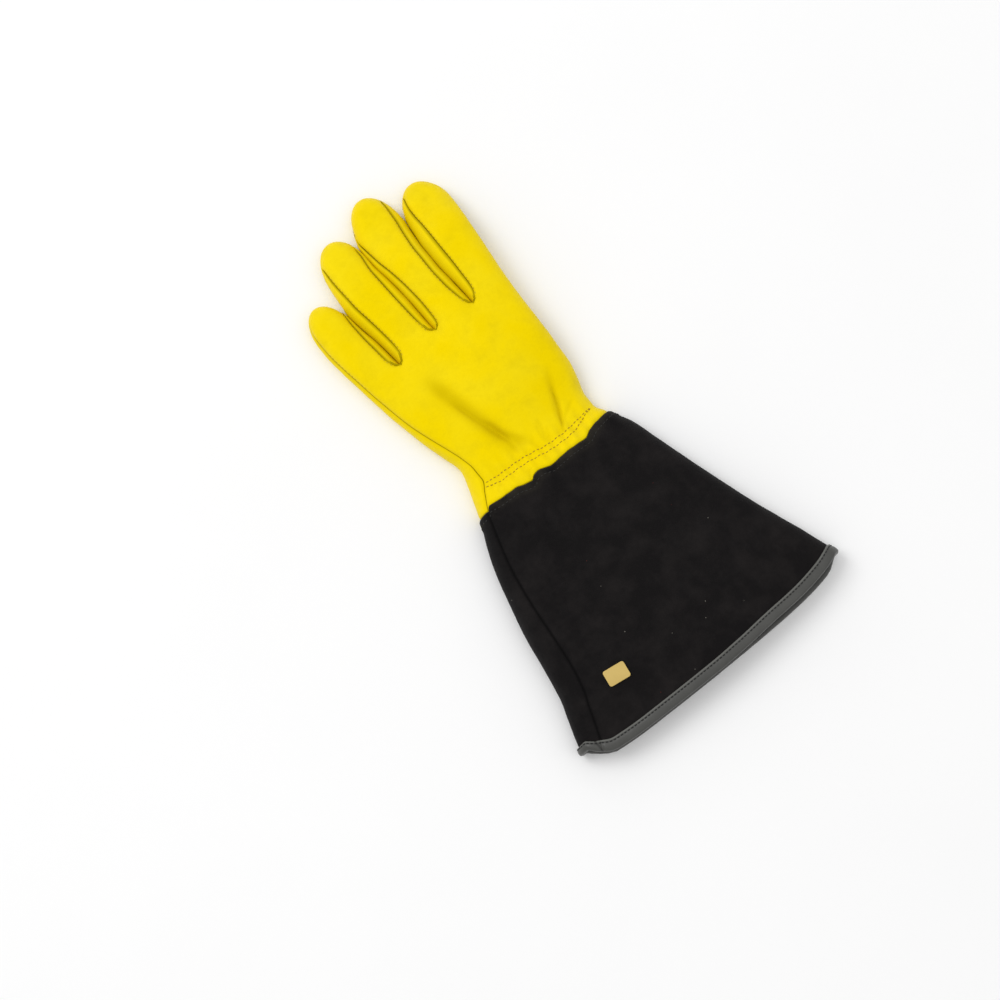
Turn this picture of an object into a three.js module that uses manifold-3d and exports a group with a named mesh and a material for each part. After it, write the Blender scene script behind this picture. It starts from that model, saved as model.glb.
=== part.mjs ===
// A leather gauntlet glove for the left hand, lying palm down with its thumb tucked under the palm.
// Millimetres. +Y runs to the fingertips, +X to the thumb side, +Z up. In the tables y is 0 at the wrist
// gathers, and the finished glove is moved so that its box is centred on the origin.
import * as THREE from 'three';
import Module from 'manifold-3d';

// Driving dimensions
const LEATHER = 1.5;              // thickness of the yellow leather
const SUEDE = 2.0;                // thickness of the cuff
const SEAM_GAP = 0.3;             // space left between two panels along a seam
const SEAM_DIP = 0.6;             // how far a seam is drawn into the surface
const LEAST_MITRE = 0.6;          // keeps the gap small where a seam turns a sharp corner
const BOX_CENTRE = { x: 1.77, y: 5.87 };       // middle of the glove's box before it is moved

const STRIP_STEPS = 6;            // facets across one finger
const WRAP_STEPS = 8;             // facets across the little finger's strip, which wraps round the edge
const SIDE_STEPS = 4;             // facets down the side of a finger
const LEAST_INSET = 0.6;          // where a seam's inset is less, the side strip has ended
const TRUNK_STEPS = [0, 0.08, 0.19, 0.32, 0.45, 0.58, 0.71, 0.85, 1];
const FINGER_STEPS = [0.018, 0.05, 0.1, 0.2, 0.33, 0.47, 0.6, 0.72, 0.82, 0.9, 0.955, 0.987];
const CUFF_STEPS = [0.07, 0.2, 0.34, 0.48, 0.62, 0.75, 0.86, 0.945, 1];

// The outline of the cuff and hand: left and right edge and height of the hollow form at each y.
const TRUNK = [
  { y: -196, left: -113, right: 115, height: 19 },
  { y: -180, left: -106, right: 108.6, height: 21 },
  { y: -170, left: -103, right: 105.2, height: 22 },
  { y: -157, left: -98.6, right: 100.7, height: 23 },
  { y: -142, left: -94, right: 95, height: 24 },
  { y: -120, left: -90, right: 87.2, height: 25 },
  { y: -95, left: -86, right: 79.4, height: 25 },
  { y: -70, left: -79.8, right: 71.8, height: 24.5 },
  { y: -50, left: -74.5, right: 66.2, height: 24 },
  { y: -30, left: -66.5, right: 60.3, height: 24 },
  { y: -20, left: -62, right: 55.5, height: 23.5 },
  { y: -13, left: -59.3, right: 51.5, height: 22 },
  { y: -4, left: -56, right: 46.8, height: 20.5 },
  { y: 4, left: -53.2, right: 46.9, height: 20 },
  { y: 17, left: -50, right: 50.3, height: 20.5 },
  { y: 30, left: -53.3, right: 52.8, height: 21 },
  { y: 50, left: -58.6, right: 53.5, height: 21 },
  { y: 75, left: -63.6, right: 54.2, height: 20.5 },
  { y: 100, left: -67.5, right: 56, height: 19.5 },
  { y: 125, left: -70.8, right: 58.5, height: 18.5 },
];

// The seam along the little finger side, seen from above, from the hem to the little finger.
const SIDE_SEAM = [
  { y: -190, x: -95 },
  { y: -172, x: -87.7 },
  { y: -160, x: -83.5 },
  { y: -149, x: -79.3 },
  { y: -130, x: -75.2 },
  { y: -107, x: -72.7 },
  { y: -89, x: -71 },
  { y: -61, x: -66.8 },
  { y: -34, x: -59.5 },
  { y: -17, x: -53.5 },
  { y: -7, x: -48 },
  { y: 2, x: -43.3 },
  { y: 11, x: -43.4 },
  { y: 21, x: -45.4 },
  { y: 31, x: -48.6 },
  { y: 46, x: -53.8 },
  { y: 61, x: -58.3 },
  { y: 80, x: -62.2 },
  { y: 100, x: -65.6 },
  { y: 120, x: -69.2 },
  { y: 134, x: -71.4 },
];

// Fingers from the little finger to the index finger. left and right are the outline before the tip
// rounds it off, insetLeft and insetRight how far the seams on top lie inside it.
const FINGERS = [
  { name: 'little', tip: 166, tipLength: 25, rows: [
    { y: 97, left: -67.2, right: -37.2, insetLeft: 2.0, insetRight: 0.7, height: 17.5 },
    { y: 100, left: -67.6, right: -37.3, insetLeft: 1.9, insetRight: 3.0, height: 17.3 },
    { y: 106, left: -68.4, right: -37.9, insetLeft: 1.8, insetRight: 4.5, height: 17 },
    { y: 120, left: -70.2, right: -39.2, insetLeft: 1.0, insetRight: 4.4, height: 16.4 },
    { y: 134, left: -71.3, right: -41.7, insetLeft: 0, insetRight: 2.6, height: 15.6 },
    { y: 144, left: -71.3, right: -42.8, insetLeft: 0, insetRight: 1.4, height: 15 },
    { y: 153, left: -71.6, right: -42.9, insetLeft: 0, insetRight: 0, height: 14.5 },
    { y: 166, left: -72, right: -43, insetLeft: 0, insetRight: 0, height: 14 },
  ] },
  { name: 'ring', tip: 196, tipLength: 25, rows: [
    { y: 97, left: -36.2, right: -4.5, insetLeft: 0.7, insetRight: 0.7, height: 18 },
    { y: 100.5, left: -36.3, right: -4.5, insetLeft: 2.6, insetRight: 0.7, height: 18 },
    { y: 104, left: -36.6, right: -4.8, insetLeft: 4.3, insetRight: 3.4, height: 18 },
    { y: 110, left: -37, right: -4.9, insetLeft: 4.9, insetRight: 4.4, height: 17.7 },
    { y: 120, left: -38.2, right: -5, insetLeft: 5.4, insetRight: 5.2, height: 17.3 },
    { y: 135, left: -40.6, right: -5.5, insetLeft: 6, insetRight: 5.6, height: 17 },
    { y: 150, left: -42.2, right: -6.8, insetLeft: 5.8, insetRight: 4.7, height: 16.5 },
    { y: 165, left: -41.3, right: -8.3, insetLeft: 4.2, insetRight: 3, height: 16 },
    { y: 178, left: -39.9, right: -8.2, insetLeft: 2.4, insetRight: 1.2, height: 15.3 },
    { y: 188, left: -39.3, right: -7, insetLeft: 0, insetRight: 0, height: 14.8 },
    { y: 196, left: -39.3, right: -6.7, insetLeft: 0, insetRight: 0, height: 14.5 },
  ] },
  { name: 'middle', tip: 207.2, tipLength: 28, rows: [
    { y: 98, left: -3.5, right: 25.9, insetLeft: 0.7, insetRight: 0.7, height: 18.5 },
    { y: 100.5, left: -3.5, right: 25.8, insetLeft: 0.8, insetRight: 2.2, height: 18.5 },
    { y: 102.2, left: -3.6, right: 25.8, insetLeft: 2.2, insetRight: 3, height: 18.5 },
    { y: 104, left: -3.7, right: 25.8, insetLeft: 2.8, insetRight: 3.6, height: 18.4 },
    { y: 110, left: -3.9, right: 25.6, insetLeft: 3.6, insetRight: 4.7, height: 18.2 },
    { y: 120, left: -4, right: 25, insetLeft: 3.9, insetRight: 5.6, height: 17.8 },
    { y: 135, left: -4.5, right: 24, insetLeft: 3.5, insetRight: 5.3, height: 17.4 },
    { y: 150, left: -5.8, right: 24.1, insetLeft: 3, insetRight: 5.1, height: 17 },
    { y: 165, left: -7.3, right: 25.9, insetLeft: 2.2, insetRight: 5.2, height: 16.4 },
    { y: 180, left: -7.5, right: 28.2, insetLeft: 1, insetRight: 5, height: 15.8 },
    { y: 193, left: -5.6, right: 28.8, insetLeft: 0, insetRight: 2.4, height: 15.2 },
    { y: 200, left: -5, right: 29.2, insetLeft: 0, insetRight: 0, height: 15 },
    { y: 207.2, left: -4.5, right: 29.5, insetLeft: 0, insetRight: 0, height: 14.6 },
  ] },
  { name: 'index', tip: 194.5, tipLength: 26, rows: [
    { y: 98, left: 26.9, right: 55.6, insetLeft: 0.7, insetRight: 0, height: 18.5 },
    { y: 101, left: 26.9, right: 55.8, insetLeft: 2.5, insetRight: 0, height: 18.5 },
    { y: 106, left: 26.8, right: 56.2, insetLeft: 4.8, insetRight: 0, height: 18.4 },
    { y: 120, left: 25.9, right: 57.8, insetLeft: 6.7, insetRight: 0, height: 18 },
    { y: 135, left: 24.9, right: 59.5, insetLeft: 8.2, insetRight: 0, height: 17.5 },
    { y: 150, left: 25.2, right: 61, insetLeft: 8.2, insetRight: 0, height: 17 },
    { y: 165, left: 27.2, right: 62.8, insetLeft: 6.8, insetRight: 0, height: 16.4 },
    { y: 178, left: 28.9, right: 63.7, insetLeft: 4.4, insetRight: 0, height: 15.6 },
    { y: 187, left: 29.3, right: 63.9, insetLeft: 2, insetRight: 0, height: 15 },
    { y: 191, left: 29.5, right: 64, insetLeft: 0, insetRight: 0, height: 14.8 },
    { y: 194.5, left: 29.6, right: 64, insetLeft: 0, insetRight: 0, height: 14.6 },
  ] },
];

// The sections: how far in the edges are rounded, how much the top falls away from its middle to its
// edges, and how high the edges lie as a share of the height.
const HAND_FORM = { round: 9, crown: 0.42, edgeShare: 0.32 };
const FINGER_FORM = { roundShare: 0.62, crown: 0.14, edgeShare: 0.42 };

const CLEFTS = [{ x: -36.7, y: 97.3 }, { x: -4, y: 100.5 }, { x: 26.4, y: 98.3 }];
const KNUCKLE_EDGE = 96;          // y of the cleft row at the two outer edges
const CLEFT_ROW = [{ x: -66, y: KNUCKLE_EDGE }, ...CLEFTS, { x: 56, y: KNUCKLE_EDGE }];
const CLEFT_MARGIN = 4;           // how far the last row of the hand stays below the clefts
const CLEFT_BLEND = { before: 14, after: 22 };
const MID_HAND = 40;              // y half way up the hand
const ROW_PASSES = 3;             // how often a point is moved onto its row
const WRIST_EDGE = { left: -53.5, right: 51 };
const WRIST_X = [-24, -3, 20];    // where the lines between the fingers run to at the wrist
const FRONT_SEAM = { x: -4, y: 90.5, rise: 4.5, halfWidth: 32, edge: 91.5 };
const EDGE_SEAM_TURN = 0.1;       // the index side seam, this part of a quarter turn under the edge
const EDGE_SEAM_FADE = 12;        // over which length it comes back to the edge at the fingertip
const EDGE_SEAM_START = { from: -190, to: -20 };  // y over which it leaves the edge along the cuff
const PALM_INSET_SHARE = 0.8;     // a seam on the palm side lies this share of the upper one's inset in
const TIP_LINE_SHARE = 0.6;       // length of the line that closes a fingertip, of its last row's width
const FOURCHETTE_END = { width: 0.05, reach: 0.72 };  // where a side strip ends in a point

// Where the yellow leather meets the cuff on the back of the hand.
const JOINT = [
  { x: -61, y: -15 },
  { x: -54.4, y: -18.4 },
  { x: -51.3, y: -15.8 },
  { x: -41.3, y: -17 },
  { x: -30, y: -17.8 },
  { x: -24.5, y: -19.8 },
  { x: -18.5, y: -21 },
  { x: -16, y: -18.7 },
  { x: -11.3, y: -18.1 },
  { x: -2.4, y: -21 },
  { x: 12, y: -20 },
  { x: 26.5, y: -20.7 },
  { x: 33.2, y: -17.3 },
  { x: 52, y: -13.7 },
];
// The upper of the two elastic stitch rows across the wrist. The lower one runs beside it.
const GATHER = [
  { x: -46, y: -1.3 },
  { x: -33.5, y: -3 },
  { x: -16.5, y: -4.1 },
  { x: -5.5, y: -5.9 },
  { x: 5.5, y: -7.8 },
  { x: 16.5, y: -8 },
  { x: 27.5, y: -7 },
  { x: 46, y: -4.4 },
];
const GATHER_PITCH = 4.3;         // distance between the two stitch rows
const GATHER_DEPTH = 0.9;         // how far the rows draw the leather in
const PLEAT = { pitch: 8.4, depth: 0.7, reach: 11, fullTo: 38, noneFrom: 46 };
// The raw edge of the cuff inside its binding: y on the back and on the layer underneath.
const HEM = [
  { x: -104, y: -179.4, under: -179.4 },
  { x: -96, y: -185.2, under: -185.2 },
  { x: -83.5, y: -191, under: -191 },
  { x: -56.5, y: -193, under: -193 },
  { x: -3.5, y: -193.7, under: -193.7 },
  { x: 18.5, y: -193, under: -193.6 },
  { x: 43.5, y: -191.2, under: -193.2 },
  { x: 68.5, y: -189.8, under: -192 },
  { x: 93.5, y: -186, under: -188.6 },
  { x: 108.2, y: -181.5, under: -182.5 },
];
const HEM_AT = -186;              // y near the hem where its columns are spread
const HEM_LIFT = { height: 1.1, reach: 16 };  // room under the cuff for the binding's outer leg

// How the columns of the outer strips are spread at the hem, closer together where the edges bend.
const HEM_SPREAD = {
  index: [0, 0.3, 0.6, 0.84, 0.895, 0.95, 1],
  wrap: [0, 0.07, 0.135, 0.2, 0.265, 0.33, 0.55, 0.77, 1],
};

// The palm and index finger lie over the thumb, which lifts them by this much.
const LIFT = {
  height: 12.6, topShare: 0.65,
  rise: { from: 5, to: 62 }, fall: { from: 143, to: 186 }, side: { from: -25, to: 22 },
};

// Soft folds: a valley line through three points, its half width and depth. A ridge has a negative depth.
const BACK_FOLDS = [
  { x1: -31, y1: 78, x2: -24, y2: 43, x3: -5, y3: 2, width: 7, depth: 2.2 },
  { x1: -18, y1: 30, x2: -16, y2: 16, x3: -14, y3: 3, width: 4, depth: 0.8 },
  { x1: 37, y1: 36, x2: 28, y2: 15, x3: 18, y3: -1, width: 4.5, depth: 1.5 },
  { x1: 24, y1: 92, x2: 36, y2: 78, x3: 50, y3: 58, width: 5, depth: -0.6 },
  { x1: -17, y1: -22, x2: -31, y2: -52, x3: -38, y3: -98, width: 9, depth: 3 },
  { x1: 10, y1: -40, x2: 14, y2: -80, x3: 30, y3: -120, width: 22, depth: -1.2 },
];
const PALM_FOLDS = [
  { x1: -48, y1: 78, x2: -30, y2: 62, x3: -12, y3: 44, width: 5, depth: 1.4 },
  { x1: -42, y1: 48, x2: -26, y2: 36, x3: -10, y3: 26, width: 5, depth: 1.2 },
  { x1: -30, y1: -30, x2: -34, y2: -60, x3: -40, y3: -100, width: 8, depth: 1.5 },
];

const THUMB = {
  hole: { x: 24, y: 40, halfWidth: 17, halfLength: 28 },
  throat: 76,
  sides: 18,
  rootSteps: [0.12, 0.3, 0.5, 0.75],
  clearance: 0.5,
  low: 0.1,
  rows: [
    { y: 76, x: 29, halfWidth: 17.5, height: 11.4 },
    { y: 90, x: 33.5, halfWidth: 18, height: 11.5 },
    { y: 104, x: 37, halfWidth: 17.5, height: 11.5 },
    { y: 117, x: 39.5, halfWidth: 16.5, height: 11.4 },
    { y: 139, x: 41, halfWidth: 15, height: 11 },
  ],
  rings: [76, 86, 97, 108, 118, 126, 132, 136, 138.3],
  tip: 139, tipLength: 22,
  middleShare: 0.45,              // height of its middle as a share of its height
  flatness: { across: 2.3, up: 2.6, topBelow: 1.1, bottomAbove: -0.9, swell: 1.06 },
  collar: 1.2,                    // how far the rim stands into the palm's hole
  drop: 1.4,                      // how far the palm's surface lies above the start of the thumb
};
const HOLE_CUT = { bottom: -5, top: 40 };  // the prism that cuts the palm open reaches this far

const BINDING = { width: 8, innerWidth: 6.5, leather: 0.8, clearance: 0.45 };
const TAB = {
  x: -56.1, y: -153.6, width: 15.6, length: 11.2, corner: 1.6, thickness: 0.8, turn: -8.5, seat: 0.35,
};

const FINISH = {
  yellow: { color: 0xf2d60a, roughness: 0.55 },
  suede: { color: 0x1b1a19, roughness: 0.95 },
  binding: { color: 0x2b2c2d, roughness: 0.35 },
  tab: { color: 0xd0b362, roughness: 0.4 },
};

// Small number helpers
const mix = (a, b, t) => a + (b - a) * t;
const clamp = (value, low, high) => Math.min(high, Math.max(low, value));
const smooth = (from, to, value) => {
  const t = clamp((value - from) / (to - from), 0, 1);
  return t * t * (3 - 2 * t);
};

// Reads a column of a table at a key by a cubic that never overshoots, held past the first and last row.
function read(table, key, column, at) {
  const last = table.length - 1;
  if (at <= table[0][key]) return table[0][column];
  if (at >= table[last][key]) return table[last][column];
  let i = 0;
  while (table[i + 1][key] < at) i += 1;
  const slope = (k) => (table[k + 1][column] - table[k][column]) / (table[k + 1][key] - table[k][key]);
  const tangent = (k) => {
    if (k === 0) return slope(0);
    if (k === last) return slope(last - 1);
    const before = slope(k - 1);
    const after = slope(k);
    return before * after <= 0 ? 0 : (2 * before * after) / (before + after);
  };
  const span = table[i + 1][key] - table[i][key];
  const t = (at - table[i][key]) / span;
  const rest = 1 - t;
  return (1 + 2 * t) * rest * rest * table[i][column] + t * rest * rest * span * tangent(i)
    + t * t * (3 - 2 * t) * table[i + 1][column] - t * t * rest * span * tangent(i + 1);
}

// A section is flat underneath, crowned on top and rounded at both edges. Its points are walked
// evenly: turn is 0 at the right edge, 1 on top, 2 at the left edge and 3 underneath.
function walkOf(section) {
  const flat = section.halfWidth - section.round;
  const bend = (Math.PI / 2) * Math.hypot(section.round, section.height * 0.4) * Math.SQRT1_2;
  return { flat, bend, total: flat + bend };
}
function sectionPoint(section, turn) {
  const around = ((turn % 4) + 4) % 4;
  const quadrant = Math.min(3, Math.floor(around));
  const part = around - quadrant;
  const { flat, bend, total } = walkOf(section);
  const walked = (quadrant % 2 === 0 ? 1 - part : part) * total;
  const bendTurn = walked > flat ? ((walked - flat) / bend) * (Math.PI / 2) : 0;
  const across = walked > flat ? flat + section.round * Math.sin(bendTurn) : walked;
  const side = quadrant === 0 || quadrant === 3 ? 1 : -1;
  const edge = section.height * section.edgeShare;
  const crown = 1 - section.crown * (across / section.halfWidth) ** 2;
  const z = quadrant < 2 ? edge + (section.height - edge) * Math.cos(bendTurn) * crown
    : edge - edge * Math.cos(bendTurn);
  return { x: section.x + side * across, share: z / section.height, z };
}

function turnAt(section, x, above) {
  const { flat, bend, total } = walkOf(section);
  const off = Math.min(Math.abs(x - section.x), section.halfWidth);
  const walked = off > flat ? flat + bend * Math.asin((off - flat) / section.round) / (Math.PI / 2) : off;
  const fromMiddle = walked / total;
  if (above) return x >= section.x ? 1 - fromMiddle : 1 + fromMiddle;
  return x < section.x ? 3 - fromMiddle : 3 + fromMiddle;
}

function trunkSection(y) {
  const left = read(TRUNK, 'y', 'left', y);
  const right = read(TRUNK, 'y', 'right', y);
  return {
    x: (left + right) / 2, halfWidth: (right - left) / 2, height: read(TRUNK, 'y', 'height', y),
    ...HAND_FORM,
  };
}

// Rounds a finger off to its tip, in plan over the tip's length and in height over half of it.
const roundOff = (toTip, length) => Math.sqrt(Math.max(0, 1 - clamp(1 - toTip / length, 0, 1) ** 2));

function fingerSection(finger, y) {
  const left = read(finger.rows, 'y', 'left', y);
  const right = read(finger.rows, 'y', 'right', y);
  const toTip = Math.max(0.02, finger.tip - y);
  const halfWidth = ((right - left) / 2) * roundOff(toTip, finger.tipLength);
  const full = read(finger.rows, 'y', 'height', y);
  return {
    x: (left + right) / 2, halfWidth, full, height: full * roundOff(toTip, finger.tipLength * 0.55),
    round: halfWidth * FINGER_FORM.roundShare, crown: FINGER_FORM.crown, edgeShare: FINGER_FORM.edgeShare,
  };
}

const lift = (x, y) => LIFT.height * smooth(LIFT.rise.from, LIFT.rise.to, y)
  * (1 - smooth(LIFT.fall.from, LIFT.fall.to, y)) * smooth(LIFT.side.from, LIFT.side.to, x);
const raised = (x, y, z, share) => z + lift(x, y) * mix(1, LIFT.topShare, share);

function trunkPoint(y, turn) {
  const point = sectionPoint(trunkSection(y), turn);
  const hemUp = HEM_LIFT.height * (1 - smooth(0, HEM_LIFT.reach, y - read(HEM, 'x', 'under', point.x)));
  return new THREE.Vector3(point.x, y, raised(point.x, y, point.z + hemUp, point.share));
}

// As a finger closes to its tip its section shrinks about the height of its edges.
function fingerPoint(finger, y, turn) {
  const section = fingerSection(finger, y);
  const point = sectionPoint(section, turn);
  const z = point.z + (section.full - section.height) * section.edgeShare;
  return new THREE.Vector3(point.x, y, raised(point.x, y, z, point.share));
}

// Across the glove there are four strips, one for each finger, between five boundary lines.
const boundaryX = (index, y) => {
  if (index === 0) return read(SIDE_SEAM, 'y', 'x', y);
  const cleft = CLEFTS[index - 1];
  return mix(WRIST_X[index - 1], cleft.x, clamp(y / cleft.y, 0, 1));
};
// The turn of a boundary line on the trunk's section. The cuff keeps the turns of the wrist.
function trunkTurn(index, y, above) {
  if (index === 4) {
    return (above ? 0 : 4) - EDGE_SEAM_TURN * smooth(EDGE_SEAM_START.from, EDGE_SEAM_START.to, y);
  }
  const section = trunkSection(y);
  if (index === 0) return turnAt(section, boundaryX(0, y), true);
  const at = Math.max(y, 0);
  return turnAt(trunkSection(at), boundaryX(index, at), above);
}
// The turn of a finger's seam, on its left (side 0) or its right (side 1).
function fingerTurn(finger, side, y, above) {
  const number = FINGERS.indexOf(finger);
  const nearTip = clamp((finger.tip - y) / EDGE_SEAM_FADE, 0, 1);
  if (number === 3 && side === 1) return (above ? 0 : 4) - EDGE_SEAM_TURN * nearTip;
  const section = fingerSection(finger, y);
  const column = side === 0 ? 'insetLeft' : 'insetRight';
  const outerSeam = number === 0 && side === 0;
  const told = read(finger.rows, 'y', column, y);
  const inset = told < LEAST_INSET && !outerSeam ? 0 : told * (above || outerSeam ? 1 : PALM_INSET_SHARE);
  const x = side === 0 ? section.x - section.halfWidth + inset : section.x + section.halfWidth - inset;
  return turnAt(section, x, above || outerSeam);
}

// Rows of the trunk from the joint to the clefts, as y at a place x on the back or on the palm.
const TRUNK_ROWS = TRUNK_STEPS.length + 4;
const gatherY = (x) => read(GATHER, 'x', 'y', x);
const jointY = (x) => read(JOINT, 'x', 'y', x);
function frontSeamY(x) {
  const off = Math.abs(x - FRONT_SEAM.x) / FRONT_SEAM.halfWidth;
  return off <= 1 ? FRONT_SEAM.y + FRONT_SEAM.rise * off * off
    : mix(FRONT_SEAM.y + FRONT_SEAM.rise, FRONT_SEAM.edge, clamp(off - 1, 0, 1));
}
const cleftY = (x) => read(CLEFT_ROW, 'x', 'y', x);
// Underneath, the joint and the gathers run straight between the two edges.
function rowY(row, x, above) {
  const edgeShare = clamp((x - WRIST_EDGE.left) / (WRIST_EDGE.right - WRIST_EDGE.left), 0, 1);
  const straight = (curve) => mix(curve(WRIST_EDGE.left), curve(WRIST_EDGE.right), edgeShare);
  const joint = above ? jointY(x) : straight(jointY);
  const gather = above ? gatherY(x) : straight(gatherY);
  const top = above ? Math.min(cleftY(x) - CLEFT_MARGIN, KNUCKLE_EDGE) : frontSeamY(x);
  return rowBetween(row, joint, gather, top, cleftY(x));
}
function rowBetween(row, joint, gather, top, cleft) {
  const lower = gather - GATHER_PITCH;
  if (row === 0) return joint;
  if (row === 1) return (joint + lower) / 2;
  if (row === 2) return lower;
  if (row === TRUNK_ROWS - 1) return cleft;
  return mix(gather, top, TRUNK_STEPS[row - 3]);
}
// At the two outer edges the back and the palm share their rows.
function edgeRowY(row, strip) {
  const x = strip === 0 ? WRIST_EDGE.left : WRIST_EDGE.right;
  return rowBetween(row, jointY(x), gatherY(x), FRONT_SEAM.edge, KNUCKLE_EDGE);
}

const stepsOf = (strip, above) => (strip === 0 && !above ? WRAP_STEPS : STRIP_STEPS);
// One strip of the back or the palm over the trunk: a grid of points, rows by columns.
function trunkStrip(strip, above) {
  const grid = [];
  for (let row = 0; row < TRUNK_ROWS; row += 1) {
    const line = [];
    const steps = stepsOf(strip, above);
    for (let step = 0; step <= steps; step += 1) {
      const across = step / steps;
      const nextX = strip === 3 ? WRIST_EDGE.right : boundaryX(strip + 1, MID_HAND);
      let y = rowY(row, mix(boundaryX(strip, MID_HAND), nextX, across), above);
      for (let pass = 0; pass < ROW_PASSES; pass += 1) {
        const turn = mix(trunkTurn(strip, y, above), trunkTurn(strip + 1, y, above), across);
        const edge = strip === 0 && step === 0 ? boundaryX(0, y) : trunkPoint(y, turn).x;
        y = rowY(row, edge, above);
      }
      if ((strip === 0 && step === 0) || (strip === 3 && step === steps)) y = edgeRowY(row, strip);
      const turn = mix(trunkTurn(strip, y, above), trunkTurn(strip + 1, y, above), across);
      const point = trunkPoint(y, turn);
      const finger = FINGERS[strip];
      const share = blendShare(strip, y);
      if (share > 0) {
        const fingerAt = mix(fingerTurn(finger, 0, y, above), fingerTurn(finger, 1, y, above), across);
        point.lerp(fingerPoint(finger, y, fingerAt), share);
      }
      line.push(point);
    }
    grid.push(line);
  }
  return grid;
}

function fingerRowY(finger, side, t) {
  const number = FINGERS.indexOf(finger);
  const cleft = side === 0 ? CLEFTS[number - 1] : CLEFTS[number];
  return mix(cleft ? cleft.y : KNUCKLE_EDGE, finger.tip, t);
}
function blendShare(strip, y) {
  const cleft = CLEFTS[clamp(strip, 0, 2)].y;
  return smooth(cleft - CLEFT_BLEND.before, cleft + CLEFT_BLEND.after, y);
}
function trunkTurnOfSeam(finger, side, y, above) {
  const number = FINGERS.indexOf(finger);
  if (number === 3 && side === 1) return trunkTurn(4, y, above);
  const section = fingerSection(finger, y);
  const seam = sectionPoint(section, fingerTurn(finger, side, y, above));
  return turnAt(trunkSection(y), seam.x, above || (number === 0 && side === 0));
}

function fingerStrip(finger, above) {
  const grid = [];
  const number = FINGERS.indexOf(finger);
  const steps = stepsOf(number, above);
  for (const t of FINGER_STEPS) {
    const line = [];
    for (let step = 0; step <= steps; step += 1) {
      const across = step / steps;
      const y = mix(fingerRowY(finger, 0, t), fingerRowY(finger, 1, t), across);
      const turn = mix(fingerTurn(finger, 0, y, above), fingerTurn(finger, 1, y, above), across);
      const point = fingerPoint(finger, y, turn);
      const share = blendShare(number, y);
      if (share < 1) {
        const [left, right] = [0, 1].map((side) => trunkTurnOfSeam(finger, side, y, above));
        point.lerp(trunkPoint(y, mix(left, right, across)), 1 - share);
      }
      line.push(point);
    }
    grid.push(line);
  }
  grid.push(closingLine(finger, steps));
  return grid;
}
// The row at the very tip, where the back and the palm side meet in one line.
function closingLine(finger, steps) {
  const section = fingerSection(finger, fingerRowY(finger, 0, FINGER_STEPS[FINGER_STEPS.length - 1]));
  const middle = read(finger.rows, 'y', 'height', finger.tip) * FINGER_FORM.edgeShare;
  const line = [];
  for (let step = 0; step <= steps; step += 1) {
    const place = Math.max(0, step - (steps - STRIP_STEPS));
    const x = section.x + section.halfWidth * TIP_LINE_SHARE * ((2 * place) / STRIP_STEPS - 1);
    line.push(new THREE.Vector3(x, finger.tip, raised(x, finger.tip, middle, 0.5)));
  }
  return line;
}

// The side of a finger between its upper and lower seam at a row, from the top down.
function fingerSide(finger, side, row) {
  const y = fingerRowY(finger, side, FINGER_STEPS[row]);
  const upper = strips.top[FINGERS.indexOf(finger)].finger[row][side * STRIP_STEPS];
  const palmRow = strips.palm[FINGERS.indexOf(finger)].finger[row];
  const lower = palmRow[side * (palmRow.length - 1)];
  const topTurn = fingerTurn(finger, side, y, true);
  const palmTurn = fingerTurn(finger, side, y, false) - (side === 1 ? 4 : 0);
  const line = [];
  for (let step = 0; step <= SIDE_STEPS; step += 1) {
    const down = step / SIDE_STEPS;
    const point = fingerPoint(finger, y, mix(topTurn, palmTurn, down));
    const upperOff = upper.clone().sub(fingerPoint(finger, y, topTurn)).multiplyScalar(1 - down);
    const lowerOff = lower.clone().sub(fingerPoint(finger, y, palmTurn)).multiplyScalar(down);
    line.push(point.add(upperOff).add(lowerOff));
  }
  return line;
}

const strips = { top: [], palm: [] };
for (const above of [true, false]) {
  const list = above ? strips.top : strips.palm;
  FINGERS.forEach((finger, number) => {
    list.push({ trunk: trunkStrip(number, above), finger: fingerStrip(finger, above) });
  });
  for (let number = 0; number < 3; number += 1) {
    for (let row = 0; row < TRUNK_ROWS; row += 1) {
      const left = list[number].trunk[row];
      const right = list[number + 1].trunk[row];
      const last = left.length - 1;
      const shared = left[last].clone().add(right[0]).multiplyScalar(0.5);
      left[last] = shared;
      right[0] = shared.clone();
    }
  }
}

// A fourchette is one strip that runs down the side of one finger, over the cleft and up the next.
function fourchetteGrid(index) {
  const lines = [];
  const sides = [{ finger: FINGERS[index], side: 1 }, { finger: FINGERS[index + 1], side: 0 }];
  sides.forEach(({ finger, side }, half) => {
    const own = [];
    for (let row = 0; row < FINGER_STEPS.length; row += 1) {
      const line = fingerSide(finger, side, row);
      const width = line[0].distanceTo(line[SIDE_STEPS]);
      if (width < FOURCHETTE_END.width) {
        own.push(own[own.length - 1].map((point) => point.clone().lerp(line[0], FOURCHETTE_END.reach)));
        break;
      }
      own.push(line);
    }
    if (half === 0) {
      own.reverse();
      lines.push(...own, webLine(index));
    } else {
      lines.push(...own);
    }
  });
  return lines;
}
function webLine(index) {
  const top = strips.top[index].trunk[TRUNK_ROWS - 1][STRIP_STEPS];
  const palmRow = strips.palm[index].trunk[TRUNK_ROWS - 1];
  const palm = palmRow[palmRow.length - 1];
  const line = [];
  for (let step = 0; step <= SIDE_STEPS; step += 1) line.push(top.clone().lerp(palm, step / SIDE_STEPS));
  return line;
}

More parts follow.
